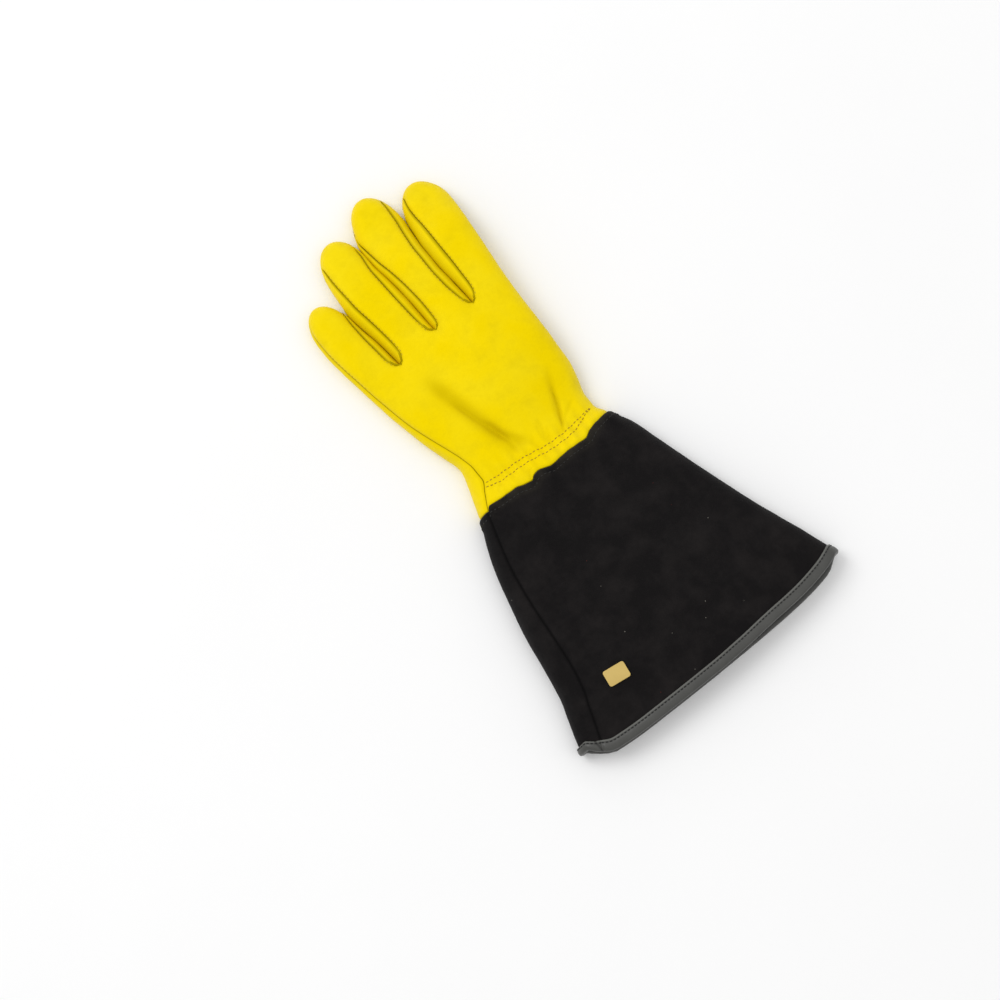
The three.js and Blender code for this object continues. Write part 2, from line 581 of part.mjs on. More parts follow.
// The cuff is one wrap from the side seam over the back, round the edge, under the palm and back.
function cuffGrid() {
  const columns = [];
  for (const above of [true, false]) {
    const order = above ? [0, 1, 2, 3] : [3, 2, 1, 0];
    for (const strip of order) {
      const list = above ? strips.top : strips.palm;
      const first = columns.length === 0 ? 0 : 1;
      const steps = stepsOf(strip, above);
      const even = [...Array(steps + 1).keys()].map((step) => step / steps);
      const spread = strip === 3 ? HEM_SPREAD.index : steps === WRAP_STEPS ? HEM_SPREAD.wrap : even;
      for (let step = first; step <= steps; step += 1) {
        const index = above ? step : steps - step;
        const atHem = spread[index];
        columns.push({ joint: list[strip].trunk[0][index], strip, even: even[index], atHem, above });
      }
    }
  }
  return columns.map(({ joint, strip, even, atHem, above }) => {
    const line = [joint.clone()];
    const hemTurn = mix(trunkTurn(strip, HEM_AT, above), trunkTurn(strip + 1, HEM_AT, above), atHem);
    const hemY = read(HEM, 'x', above ? 'y' : 'under', trunkPoint(HEM_AT, hemTurn).x);
    for (const v of CUFF_STEPS) {
      const y = mix(joint.y, hemY, v);
      const across = mix(even, atHem, smooth(0, 0.5, v));
      const turn = mix(trunkTurn(strip, y, above), trunkTurn(strip + 1, y, above), across);
      line.push(trunkPoint(y, turn));
    }
    return line;
  });
}

// Relief along the surface's normal: folds, gathers and pleats.
function foldDepth(folds, x, y) {
  let total = 0;
  for (const fold of folds) {
    const legs = [[fold.x1, fold.y1, fold.x2, fold.y2], [fold.x2, fold.y2, fold.x3, fold.y3]];
    let nearest = Infinity;
    let along = 0;
    legs.forEach(([ax, ay, bx, by], leg) => {
      const dx = bx - ax;
      const dy = by - ay;
      const t = clamp(((x - ax) * dx + (y - ay) * dy) / (dx * dx + dy * dy), 0, 1);
      const distance = Math.hypot(x - ax - dx * t, y - ay - dy * t);
      if (distance < nearest) {
        nearest = distance;
        along = (leg + t) / 2;
      }
    });
    const ends = smooth(0, 0.3, along) * (1 - 0.5 * smooth(0.8, 1, along));
    total += fold.depth * ends * Math.exp(-((nearest / fold.width) ** 2));
  }
  return total;
}
function relief(point, above) {
  const depth = foldDepth(above ? BACK_FOLDS : PALM_FOLDS, point.x, point.y);
  if (!above) return -depth;
  const off = point.y - (gatherY(point.x) - GATHER_PITCH / 2);
  const rows = GATHER_DEPTH * Math.exp(-((off / GATHER_PITCH) ** 2));
  const inside = 1 - smooth(PLEAT.fullTo, PLEAT.noneFrom, Math.abs(point.x));
  const wave = Math.cos((2 * Math.PI * point.x) / PLEAT.pitch);
  const pleat = PLEAT.depth * wave * Math.exp(-((off / PLEAT.reach) ** 2));
  return -depth - (rows + pleat) * inside;
}

// Every panel is a list of grids. Normals are gathered over the whole glove, so walls meet squarely.
const keyOf = (point) => point.toArray().map((value) => Math.round(value * 1000)).join();
const panels = new Map();
function addGrid(name, lines, above, flip) {
  if (!panels.has(name)) panels.set(name, { points: new Map(), faces: [] });
  const panel = panels.get(name);
  const index = (i, j) => {
    const point = lines[i][j];
    const key = keyOf(point);
    if (!panel.points.has(key)) panel.points.set(key, { key, at: point.clone(), above: above(i) });
    return key;
  };
  for (let i = 0; i + 1 < lines.length; i += 1) {
    for (let j = 0; j + 1 < lines[i].length; j += 1) {
      const a = index(i, j);
      const b = index(i + 1, j);
      const c = index(i + 1, j + 1);
      const d = index(i, j + 1);
      const [p, q, r, s] = flip ? [a, d, c, b] : [a, b, c, d];
      const rising = lines[i][j].distanceTo(lines[i + 1][j + 1]);
      const falling = lines[i + 1][j].distanceTo(lines[i][j + 1]);
      for (const face of rising <= falling ? [[p, q, r], [p, r, s]] : [[p, q, s], [q, r, s]]) {
        if (new Set(face).size === 3) panel.faces.push(face);
      }
    }
  }
}

const onBack = () => true;
const onPalm = () => false;
const CUFF_BACK_COLUMNS = 4 * STRIP_STEPS;
const frontRow = TRUNK_ROWS - 2;
strips.top.forEach((strip, number) => {
  addGrid('back_panel', [...strip.trunk, ...strip.finger], onBack, true);
  const palm = strips.palm[number];
  const front = [palm.trunk[TRUNK_ROWS - 1], ...palm.finger];
  if (number === 0 || number === 3) {
    addGrid('palm_panel', [...palm.trunk, ...palm.finger], onPalm, false);
  } else {
    addGrid('palm_panel', palm.trunk.slice(0, frontRow + 1), onPalm, false);
    addGrid(`${FINGERS[number].name}_finger_front`, [palm.trunk[frontRow], ...front], onPalm, false);
  }
});
const FOURCHETTES = ['fourchette_little_ring', 'fourchette_ring_middle', 'fourchette_middle_index'];
FOURCHETTES.forEach((name, index) => addGrid(name, fourchetteGrid(index), onPalm, false));
addGrid('cuff', cuffGrid(), (column) => column <= CUFF_BACK_COLUMNS, true);

function faceNormal(panel, face) {
  const [a, b, c] = face.map((key) => panel.points.get(key).at);
  return b.clone().sub(a).cross(c.clone().sub(a));
}
const normals = new Map();
for (const panel of panels.values()) {
  for (const face of panel.faces) {
    const normal = faceNormal(panel, face);
    for (const key of face) {
      if (!normals.has(key)) normals.set(key, new THREE.Vector3());
      normals.get(key).add(normal);
    }
  }
}
for (const normal of normals.values()) normal.normalize();

function edgesOf(panel) {
  const edges = new Map();
  for (const face of panel.faces) {
    face.forEach((key, i) => edges.set(`${key}>${face[(i + 1) % 3]}`, [key, face[(i + 1) % 3]]));
  }
  const single = ([from, to]) => !edges.has(`${to}>${from}`);
  return [...edges.values()].filter(single);
}
const seamKeys = new Set();
for (const panel of panels.values()) edgesOf(panel).flat().forEach((key) => seamKeys.add(key));
for (const column of cuffGrid()) seamKeys.delete(keyOf(column[column.length - 1]));

// Thickens a panel inwards, with its rim drawn back from the seam by half the seam's gap.
function thicken(name, thickness, surface) {
  const panel = panels.get(name);
  const rim = edgesOf(panel);
  const pull = new Map();
  for (const [from, to] of rim) {
    const along = panel.points.get(to).at.clone().sub(panel.points.get(from).at).normalize();
    for (const key of [from, to]) {
      if (!pull.has(key)) pull.set(key, new THREE.Vector3());
      pull.get(key).add(normals.get(key).clone().cross(along).normalize());
    }
  }
  const outer = new Map();
  const inner = new Map();
  const positions = [];
  const place = (map, key, point) => {
    map.set(key, positions.length / 3);
    positions.push(point.x, point.y, point.z);
  };
  for (const { key, at, above } of panel.points.values()) {
    const normal = normals.get(key);
    const dip = seamKeys.has(key) ? SEAM_DIP : 0;
    const height = surface(at, above) - dip;
    const point = at.clone().addScaledVector(normal, height);
    if (pull.has(key)) {
      const inward = pull.get(key).clone();
      const length = Math.max(LEAST_MITRE, inward.length() / 2);
      inward.normalize().multiplyScalar(SEAM_GAP / 2 / length);
      point.add(inward);
    }
    point.z = Math.max(point.z, 0);
    place(outer, key, point);
    place(inner, key, point.clone().addScaledVector(normal, -thickness));
  }
  const index = [];
  for (const face of panel.faces) {
    index.push(...face.map((key) => outer.get(key)));
    index.push(...face.map((key) => inner.get(key)).reverse());
  }
  for (const [from, to] of rim) {
    index.push(outer.get(to), outer.get(from), inner.get(from));
    index.push(outer.get(to), inner.get(from), inner.get(to));
  }
  return { positions, index };
}

function geometryOf({ positions, index }) {
  const geometry = new THREE.BufferGeometry();
  geometry.setAttribute('position', new THREE.Float32BufferAttribute(positions, 3));
  geometry.setIndex(index);
  geometry.computeVertexNormals();
  return geometry;
}

// The thumb: a tube from the hole in the palm, folded flat under the palm and the index finger.
const ovalPoint = (turn, inset) => ({
  x: THUMB.hole.x + (THUMB.hole.halfWidth - inset) * Math.cos(turn),
  y: THUMB.hole.y + (THUMB.hole.halfLength - inset) * Math.sin(turn),
});
function palmHeight(x, y) {
  return trunkPoint(y, turnAt(trunkSection(y), x, false)).z;
}
function thumbSection(y, turn) {
  const toTip = Math.max(0.02, THUMB.tip - y);
  const half = read(THUMB.rows, 'y', 'halfWidth', y) * roundOff(toTip, THUMB.tipLength);
  const full = read(THUMB.rows, 'y', 'height', y);
  const height = full * roundOff(toTip, THUMB.tipLength * 0.5);
  const { across, up, topBelow, bottomAbove, swell } = THUMB.flatness;
  const squared = (value, power) => Math.sign(value) * Math.abs(value) ** (2 / power);
  const rise = clamp(squared(Math.sin(turn), up) * swell, bottomAbove, topBelow);
  const z = THUMB.low + full * THUMB.middleShare + (height / 2) * rise;
  return new THREE.Vector3(read(THUMB.rows, 'y', 'x', y) + half * squared(Math.cos(turn), across), y, z);
}
function thumbRings() {
  const rings = [];
  const angles = [...Array(THUMB.sides).keys()].map((i) => (2 * Math.PI * i) / THUMB.sides);
  const rim = (inset, drop) => angles.map((turn) => {
    const at = ovalPoint(turn, inset);
    return new THREE.Vector3(at.x, at.y, Math.max(THUMB.low, palmHeight(at.x, at.y) - drop));
  });
  rings.push(rim(THUMB.clearance, -THUMB.collar));
  rings.push(rim(THUMB.clearance, THUMB.clearance));
  for (const t of THUMB.rootSteps) {
    rings.push(angles.map((turn) => {
      const at = ovalPoint(turn, THUMB.clearance);
      const start = new THREE.Vector3(at.x, at.y, Math.max(THUMB.low, palmHeight(at.x, at.y) - THUMB.drop));
      const end = thumbSection(THUMB.throat, turn);
      const point = start.clone().lerp(end, t);
      point.z = mix(start.z, end.z, 1 - (1 - t) ** 2);
      return point;
    }));
  }
  for (const y of THUMB.rings) rings.push(angles.map((turn) => thumbSection(y, turn)));
  return rings;
}
function thumbGeometry() {
  const rings = thumbRings();
  const sides = THUMB.sides;
  const tipRow = THUMB.rows[THUMB.rows.length - 1];
  const tip = new THREE.Vector3(tipRow.x, THUMB.tip, THUMB.low + tipRow.height * THUMB.middleShare);
  const points = rings.flat();
  points.push(tip);
  const faces = [];
  for (let ring = 0; ring + 1 < rings.length; ring += 1) {
    for (let i = 0; i < sides; i += 1) {
      const a = ring * sides + i;
      const b = ring * sides + ((i + 1) % sides);
      faces.push([a, b + sides, b], [a, a + sides, b + sides]);
    }
  }
  const lastRing = (rings.length - 1) * sides;
  for (let i = 0; i < sides; i += 1) {
    faces.push([lastRing + ((i + 1) % sides), lastRing + i, points.length - 1]);
  }
  const pointNormals = points.map(() => new THREE.Vector3());
  for (const face of faces) {
    const [a, b, c] = face.map((i) => points[i]);
    const normal = b.clone().sub(a).cross(c.clone().sub(a));
    face.forEach((i) => pointNormals[i].add(normal));
  }
  const count = points.length;
  const positions = [];
  for (const point of points) positions.push(point.x, point.y, point.z);
  points.forEach((point, i) => {
    const normal = pointNormals[i].normalize();
    if (i < sides) normal.setZ(0).normalize();
    const inner = point.clone().addScaledVector(normal, -LEATHER);
    positions.push(inner.x, inner.y, inner.z);
  });
  const index = [];
  for (const face of faces) index.push(...face, face[2] + count, face[1] + count, face[0] + count);
  for (let i = 0; i < sides; i += 1) {
    const next = (i + 1) % sides;
    index.push(i, next, i + count, next, next + count, i + count);
  }
  return geometryOf({ positions, index });
}

// The palm panel is cut open where the thumb leaves it.
const wasm = await Module();
wasm.setup();
function solidOf({ positions, index }) {
  return new wasm.Manifold(new wasm.Mesh({
    numProp: 3, vertProperties: new Float32Array(positions), triVerts: new Uint32Array(index),
  }));
}
function palmGeometry() {
  const panel = solidOf(thicken('palm_panel', LEATHER, relief));
  const sides = THUMB.sides;
  const positions = [];
  const index = [];
  for (let i = 0; i < sides; i += 1) {
    const at = ovalPoint((2 * Math.PI * i) / sides, 0);
    positions.push(at.x, at.y, HOLE_CUT.bottom, at.x, at.y, HOLE_CUT.top);
  }
  const { x, y } = THUMB.hole;
  positions.push(x, y, HOLE_CUT.bottom, x, y, HOLE_CUT.top);
  for (let i = 0; i < sides; i += 1) {
    const a = 2 * i;
    const b = 2 * ((i + 1) % sides);
    index.push(a, b, b + 1, a, b + 1, a + 1, b, a, 2 * sides, a + 1, b + 1, 2 * sides + 1);
  }
  const mesh = panel.subtract(solidOf({ positions, index })).getMesh();
  return geometryOf({ positions: Array.from(mesh.vertProperties), index: Array.from(mesh.triVerts) });
}

// The hem binding: a folded leather strip over the raw edge, swept round the mouth.
function bindingGeometry() {
  const cuff = panels.get('cuff');
  const grid = cuffGrid();
  const columns = grid.slice(0, -1);
  const { width, innerWidth, leather, clearance } = BINDING;
  const out = clearance + leather;
  const under = SUEDE + clearance;
  const section = [
    [-width, clearance], [-width, out], [-width / 2, out], [0, out], [out, -SUEDE / 4],
    [out, -SUEDE], [0, -under - leather], [-innerWidth, -under - leather], [-innerWidth, -under],
    [clearance, -under], [clearance, clearance],
  ];
  const positions = [];
  columns.forEach((line, i) => {
    const edge = line[line.length - 1];
    const before = line[line.length - 2];
    const key = keyOf(edge);
    const back = i === 0 ? keyOf(grid[grid.length - 1][line.length - 1]) : key;
    const normal = normals.get(key).clone().add(normals.get(back)).normalize();
    const outward = edge.clone().sub(before);
    outward.addScaledVector(normal, -outward.dot(normal)).normalize();
    const height = relief(edge, cuff.points.get(key).above);
    for (const [along, up] of section) {
      const point = edge.clone().addScaledVector(outward, along).addScaledVector(normal, up + height);
      point.z = Math.max(point.z, 0);
      positions.push(point.x, point.y, point.z);
    }
  });
  const index = [];
  const ring = section.length;
  for (let i = 0; i < columns.length; i += 1) {
    const next = (i + 1) % columns.length;
    for (let j = 0; j < ring; j += 1) {
      const k = (j + 1) % ring;
      const [a, b, c, d] = [i * ring + j, next * ring + j, next * ring + k, i * ring + k];
      index.push(a, c, b, a, d, c);
    }
  }
  return geometryOf({ positions, index });
}

// The small plain tab near the hem.
function tabMesh(material) {
  const outline = new THREE.Shape();
  const x = TAB.width / 2;
  const y = TAB.length / 2;
  const r = TAB.corner;
  outline.moveTo(-x + r, -y);
  outline.lineTo(x - r, -y);
  outline.quadraticCurveTo(x, -y, x, -y + r);
  outline.lineTo(x, y - r);
  outline.quadraticCurveTo(x, y, x - r, y);
  outline.lineTo(-x + r, y);
  outline.quadraticCurveTo(-x, y, -x, y - r);
  outline.lineTo(-x, -y + r);
  outline.quadraticCurveTo(-x, -y, -x + r, -y);
  const plate = { depth: TAB.thickness, bevelEnabled: false, curveSegments: 3 };
  const geometry = new THREE.ExtrudeGeometry(outline, plate);
  const at = (dx, dy) => {
    const section = trunkSection(TAB.y + dy);
    const point = trunkPoint(TAB.y + dy, turnAt(section, TAB.x + dx, true));
    point.z += relief(point, true);
    return point;
  };
  const centre = at(0, 0);
  const along = at(x / 2, 0).sub(at(-x / 2, 0));
  const up = at(0, y / 2).sub(at(0, -y / 2));
  const normal = along.clone().cross(up).normalize();
  const mesh = new THREE.Mesh(geometry, material);
  const straightUp = new THREE.Vector3(0, 0, 1);
  const turn = THREE.MathUtils.degToRad(TAB.turn);
  const turnOnFace = new THREE.Quaternion().setFromAxisAngle(straightUp, turn);
  const onto = new THREE.Quaternion().setFromUnitVectors(straightUp, normal);
  mesh.quaternion.copy(onto.multiply(turnOnFace));
  mesh.position.copy(centre).addScaledVector(normal, TAB.seat);
  return mesh;
}

function finish(name, kind) {
  const { color, roughness } = FINISH[kind];
  return new THREE.MeshStandardMaterial({ name, color, roughness, metalness: 0 });
}

const glove = new THREE.Group();
glove.position.set(-BOX_CENTRE.x, -BOX_CENTRE.y, 0);
function add(name, geometry, material) {
  const mesh = geometry.isMesh ? geometry : new THREE.Mesh(geometry, material);
  mesh.name = name;
  glove.add(mesh);
}
for (const name of ['back_panel', 'ring_finger_front', 'middle_finger_front', ...FOURCHETTES]) {
  const surface = name === 'back_panel' ? relief : () => 0;
  add(name, geometryOf(thicken(name, LEATHER, surface)), finish(name, 'yellow'));
}
add('palm_panel', palmGeometry(), finish('palm_panel', 'yellow'));
add('thumb', thumbGeometry(), finish('thumb', 'yellow'));
add('cuff', geometryOf(thicken('cuff', SUEDE, relief)), finish('cuff', 'suede'));
add('hem_binding', bindingGeometry(), finish('hem_binding', 'binding'));
add('cuff_tab', tabMesh(finish('cuff_tab', 'tab')));

export default glove;
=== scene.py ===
"""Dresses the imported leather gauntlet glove: sewn leather, napped suede, bound hem and stitches."""
import math
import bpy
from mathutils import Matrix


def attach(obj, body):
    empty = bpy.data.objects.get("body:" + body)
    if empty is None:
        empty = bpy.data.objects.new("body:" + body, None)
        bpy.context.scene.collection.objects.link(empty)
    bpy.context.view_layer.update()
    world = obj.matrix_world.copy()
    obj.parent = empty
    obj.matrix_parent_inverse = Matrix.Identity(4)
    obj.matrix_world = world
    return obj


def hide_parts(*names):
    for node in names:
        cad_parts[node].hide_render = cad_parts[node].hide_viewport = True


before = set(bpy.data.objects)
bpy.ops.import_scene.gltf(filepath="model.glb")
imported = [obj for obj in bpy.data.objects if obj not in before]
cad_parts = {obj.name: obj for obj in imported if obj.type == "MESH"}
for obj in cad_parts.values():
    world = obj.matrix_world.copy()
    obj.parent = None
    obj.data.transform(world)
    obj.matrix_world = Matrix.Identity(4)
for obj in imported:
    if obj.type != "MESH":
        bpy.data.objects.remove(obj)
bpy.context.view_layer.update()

from types import SimpleNamespace

import bmesh
import bpy
import numpy as np
from bpy.props import FloatProperty, FloatVectorProperty, PointerProperty
from mathutils import Matrix, Vector, kdtree, noise

bl_info = {
    "name": "Leather Gauntlet Glove",
    "version": (1, 0, 0),
    "blender": (4, 5, 0),
    "location": "3D View > Sidebar > Glove",
    "description": "Builds a sewn leather gauntlet glove on its packed frame",
    "category": "Object",
}

# The form is worked out in millimetres, with y 0 at the wrist gathers, and moved to the frame at the end.
BOX_CENTRE = np.array([1.77, 5.87, 0.0])
METRES = 0.001
PLACES_PER_MM = 1000              # points that agree this finely are the same place
SAME_POINT = 2e-6                 # metres within which the corners of two grids are joined
NO_LENGTH = 1e-7

# Sections of the hand and fingers.
HAND_FORM = {"round": 9.0, "crown": 0.42, "edge_share": 0.32}
FINGER_FORM = {"crown": 0.14, "edge_share": 0.42}
FINGER_ROUND_SHARE = 0.62
BEND_HEIGHT = 0.4                 # share of a section's height that its bend's length is reckoned with
TIP_HEIGHT_SHARE = 0.55           # a tip rounds off in height over this share of its length
LEAST_TO_TIP = 0.02
LEAST_SIDE = 0.05                 # where a finger's side is narrower than this, it has ended in a point

# Rows and seams of the layout.
GATHER_PITCH = 4.3                # distance between the two stitch rows at the wrist
GATHER_DEPTH = 0.9
KNUCKLE_EDGE = 96.0
CLEFT_MARGIN = 4.0
CLEFT_BLEND = (14.0, 22.0)
MID_HAND = 40.0
ROW_PASSES = 4
EDGE_FADE = 0.35                  # part of a strip over which its outer edge is fitted to its neighbour
WRIST_LEFT, WRIST_RIGHT = -53.5, 51.0
WRIST_X = (-24.0, -3.0, 20.0)
EDGE_SEAM_TURN = 0.1
EDGE_SEAM_FADE = 12.0
EDGE_SEAM_START = (-190.0, -20.0)
PALM_INSET_SHARE = 0.8
MOST_INSET = 0.9                  # a seam never lies further in than this share of the finger's half width
FRONT_SEAM = SimpleNamespace(x=-4.0, y=90.5, rise=4.5, half_width=32.0, edge=91.5)
HEM_AT = -186.0
HEM_BELOW = -150.0                # an edge of the cuff below this is its hem
HEM_LIFT = (1.1, 16.0)
HEM_UNDER = 0.3                   # part of the last strip underneath over which the hem leaves the upper one
LIFT = SimpleNamespace(height=12.6, top_share=0.65, rise=(5, 62), fall=(143, 186), side=(-25, 22))

# How finely the grids are laid out.
STRIP_COLUMNS = 34
WRAP_COLUMNS = 42
SIDE_COLUMNS = 10
EDGE_CROWDING = 0.08              # columns lie closer together towards a strip's two seams
CUFF_ROWS = 118
TRUNK_LEGS = (10, 5, 88, 5)       # rows from the joint to the lower row, upper row, knuckles and clefts
FINGER_ROWS = (74, 34)            # rows up a finger and round its tip
FIRST_FINGER_ROW = 0.012
TIP_SHARE = 0.26

# Relief of the leather and suede. At a width's distance a bell-shaped form has faded to about a third.
PLEAT = SimpleNamespace(pitch=8.4, depth=0.7, reach=11.0, full_to=38.0, none_from=46.0)
FOLD_ENDS = SimpleNamespace(start=0.3, end=0.8, left=0.5)
# A fold's depth sets its painted crease shade, and a fold this deep gets all of it.
FULL_CREASE = 2.5                 # a fold this deep has the whole colour of a crease
# The soft waves are two noises, laid apart, and they fade out near a seam.
WAVES = SimpleNamespace(long=16.0, short=7.0, short_share=0.45, apart=91.0, calm=3.0)
# Seams: the width of the dark seam line, which is partly the leather's darker cut edges and partly painted
# shade in the seam; how wide the seam rolls in; and the share and width of the soft painted shade beside it.
SEAM = SimpleNamespace(line=0.27, roll_width=1.7, shade=0.4, shade_width=1.6)
SEAM_ON_TOP = (0.25, 0.55)        # a tip's seam shows where it faces up or down
SEAM_FROM_TIP = (6.0, 24.0)       # and further from the tip than this
FINGER_MIDDLES = np.array([-57.0, -23.0, 12.0, 46.0])
# The suede's upper edge: the folded-in layer's rise and where it ends, the depth and width of the dip at the
# edge, the stitch row's groove depth, place and width, and how wide the lighter band of suede below the edge
# is.
CUFF_EDGE = SimpleNamespace(
    fold=0.75, fold_end=(6.2, 8.6), edge=0.7, edge_width=0.7, row=0.35, row_at=4.6, row_width=0.8, edge_band=6.5)
SIDE_GROOVE = SimpleNamespace(depth=1.0, above=8.0)
# Where two fingers touch, their sides swell, and painted shade and a painted dark line in the gap between
# them grow on the way down.
FINGERS_SHUT = SimpleNamespace(
    swell=0.68, near=1.4, apart=3.0, line=0.85, line_down=(0.36, 0.56), shade=0.8, shade_down=(0.05, 0.4))
POINT_THINNING = (2.0, 9.0, 0.1)  # from where to where a wall thins towards a point, and what is left there
POINTED = 0.3                     # a row of a grid no larger than this is a point
HOLE_RIM = 1.15                   # edges within this many radii of the thumb's hole are brought onto it

# Stitches: how far they lie over the surface and how thick they are next to the common thread.
STITCH_REACH = 0.4                # how far before and behind a stitch its line's direction is taken
WRIST_ROWS = SimpleNamespace(lift=0.06, shown=slice(3, -14), right=(0.85, 22, 44), left=(0.35, -46, -34))
FINGER_ROW = SimpleNamespace(lift=-0.1, thick=0.7, beside=0.7, first=3, shown_inset=1.2, to_tip=16.0, least=8)
CUFF_ROW = SimpleNamespace(lift=0.05, row=3)
HEM_ROW = SimpleNamespace(lift=0.12, thick=1.45, row=5, pitch=0.0027)


def table(columns, *rows):
    """A table as one array of numbers for each named column."""
    return SimpleNamespace(**dict(zip(columns.split(), np.array(rows, float).T)))


# The outline of the cuff and hand: left and right edge and height of the hollow form at each y.
TRUNK = table(
    "y left right height",
    (-196, -113, 115, 19), (-180, -106, 108.6, 21), (-170, -103, 105.2, 22), (-157, -98.6, 100.7, 23),
    (-142, -94, 95, 24), (-120, -90, 87.2, 25), (-95, -86, 79.4, 25), (-70, -79.8, 71.8, 24.5),
    (-50, -74.5, 66.2, 24), (-30, -66.5, 60.3, 24), (-20, -62, 55.5, 23.5), (-13, -59.3, 51.5, 22),
    (-4, -56, 46.8, 20.5), (4, -53.2, 46.9, 20), (17, -50, 50.3, 20.5), (30, -53.3, 52.8, 21),
    (50, -58.6, 53.5, 21), (75, -63.6, 54.2, 20.5), (100, -67.5, 56, 19.5), (125, -70.8, 58.5, 18.5))
SIDE_SEAM = table(
    "y x",
    (-190, -95), (-172, -87.7), (-160, -83.5), (-149, -79.3), (-130, -75.2), (-107, -72.7), (-89, -71),
    (-61, -66.8), (-34, -59.5), (-17, -53.5), (-7, -48), (2, -43.3), (11, -43.4), (21, -45.4), (31, -48.6),
    (46, -53.8), (61, -58.3), (80, -62.2), (100, -65.6), (120, -69.2), (134, -71.4))
FINGER_COLUMNS = "y left right inset_left inset_right height"
FINGERS = (
    SimpleNamespace(name="little", tip=166.0, tip_length=25.0, rows=table(
        FINGER_COLUMNS,
        (97, -67.2, -37.2, 2, 0.7, 17.5), (100, -67.6, -37.3, 1.9, 3, 17.3),
        (106, -68.4, -37.9, 1.8, 4.5, 17), (120, -70.2, -39.2, 1.5, 4.4, 16.4),
        (134, -71.3, -41.7, 1.2, 2.6, 15.6), (144, -71.3, -42.8, 1, 1.4, 15),
        (153, -71.6, -42.9, 0.7, 0, 14.5), (166, -72, -43, 0, 0, 14))),
    SimpleNamespace(name="ring", tip=196.0, tip_length=25.0, rows=table(
        FINGER_COLUMNS,
        (97, -36.2, -4.5, 0.7, 0.7, 18), (100.5, -36.3, -4.5, 2.6, 0.7, 18), (104, -36.6, -4.8, 4.3, 3.4, 18),
        (110, -37, -4.9, 4.9, 4.4, 17.7), (120, -38.2, -5, 5.4, 5.2, 17.3), (135, -40.6, -5.5, 6, 5.6, 17),
        (150, -42.2, -6.8, 5.8, 4.7, 16.5), (165, -41.3, -8.3, 4.2, 3, 16),
        (178, -39.9, -8.2, 2.4, 1.2, 15.3), (188, -39.3, -7, 0, 0, 14.8), (196, -39.3, -6.7, 0, 0, 14.5))),
    SimpleNamespace(name="middle", tip=207.2, tip_length=28.0, rows=table(
        FINGER_COLUMNS,
        (98, -3.5, 25.9, 0.7, 0.7, 18.5), (100.5, -3.5, 25.8, 0.8, 2.2, 18.5),
        (102.2, -3.6, 25.8, 2.2, 3, 18.5), (104, -3.7, 25.8, 2.8, 3.6, 18.4),
        (110, -3.9, 25.6, 3.6, 4.7, 18.2), (120, -4, 25, 3.9, 5.6, 17.8), (135, -4.5, 24, 3.5, 5.3, 17.4),
        (150, -5.8, 24.1, 3, 5.1, 17), (165, -7.3, 25.9, 2.2, 5.2, 16.4), (180, -7.5, 28.2, 1, 5, 15.8),
        (193, -5.6, 28.8, 0, 2.4, 15.2), (200, -5, 29.2, 0, 0, 15), (207.2, -4.5, 29.5, 0, 0, 14.6))),
    SimpleNamespace(name="index", tip=194.5, tip_length=26.0, rows=table(
        FINGER_COLUMNS,
        (98, 26.9, 55.6, 0.7, 0, 18.5), (101, 26.9, 55.8, 2.5, 0, 18.5), (106, 26.8, 56.2, 4.8, 0, 18.4),
        (120, 25.9, 57.8, 6.7, 0, 18), (135, 24.9, 59.5, 8.2, 0, 17.5), (150, 25.2, 61, 8.2, 0, 17),
        (165, 27.2, 62.8, 6.8, 0, 16.4), (178, 28.9, 63.7, 4.4, 0, 15.6), (187, 29.3, 63.9, 2, 0, 15),
        (191, 29.5, 64, 0, 0, 14.8), (194.5, 29.6, 64, 0, 0, 14.6))),
)
CLEFT_PLACES = ((-36.7, 97.3), (-4, 100.5), (26.4, 98.3))
CLEFTS = table("x y", *CLEFT_PLACES)
CLEFT_ROW = table("x y", (-66, KNUCKLE_EDGE), *CLEFT_PLACES, (56, KNUCKLE_EDGE))
# Where the yellow leather meets the cuff on the back of the hand.
JOINT = table(
    "x y",
    (-61, -15), (-54.4, -18.4), (-51.3, -15.8), (-41.3, -17), (-30, -17.8), (-24.5, -19.8), (-18.5, -21),
    (-16, -18.7), (-11.3, -18.1), (-2.4, -21), (12, -20), (26.5, -20.7), (33.2, -17.3), (52, -13.7))
# The upper of the two stitch rows that hold the elastic behind the wrist.
GATHER = table(
    "x y",
    (-46, -1.3), (-33.5, -3), (-16.5, -4.1), (-5.5, -5.9), (5.5, -7.8), (16.5, -8), (27.5, -7), (46, -4.4))
# The raw edge of the cuff inside its binding, on the back and on the layer underneath.
HEM = table(
    "x y under",
    (-104, -179.4, -179.4), (-96, -185.2, -185.2), (-83.5, -191, -191), (-56.5, -193, -193),
    (-3.5, -193.7, -193.7), (18.5, -193, -193.6), (43.5, -191.2, -193.2), (68.5, -189.8, -192),
    (93.5, -186, -188.6), (108.2, -181.5, -182.5))
HEM_SPREAD = {
    "index": np.array([0, 0.3, 0.6, 0.84, 0.895, 0.95, 1]),
    "wrap": np.array([0, 0.07, 0.135, 0.2, 0.265, 0.33, 0.55, 0.77, 1]),
}
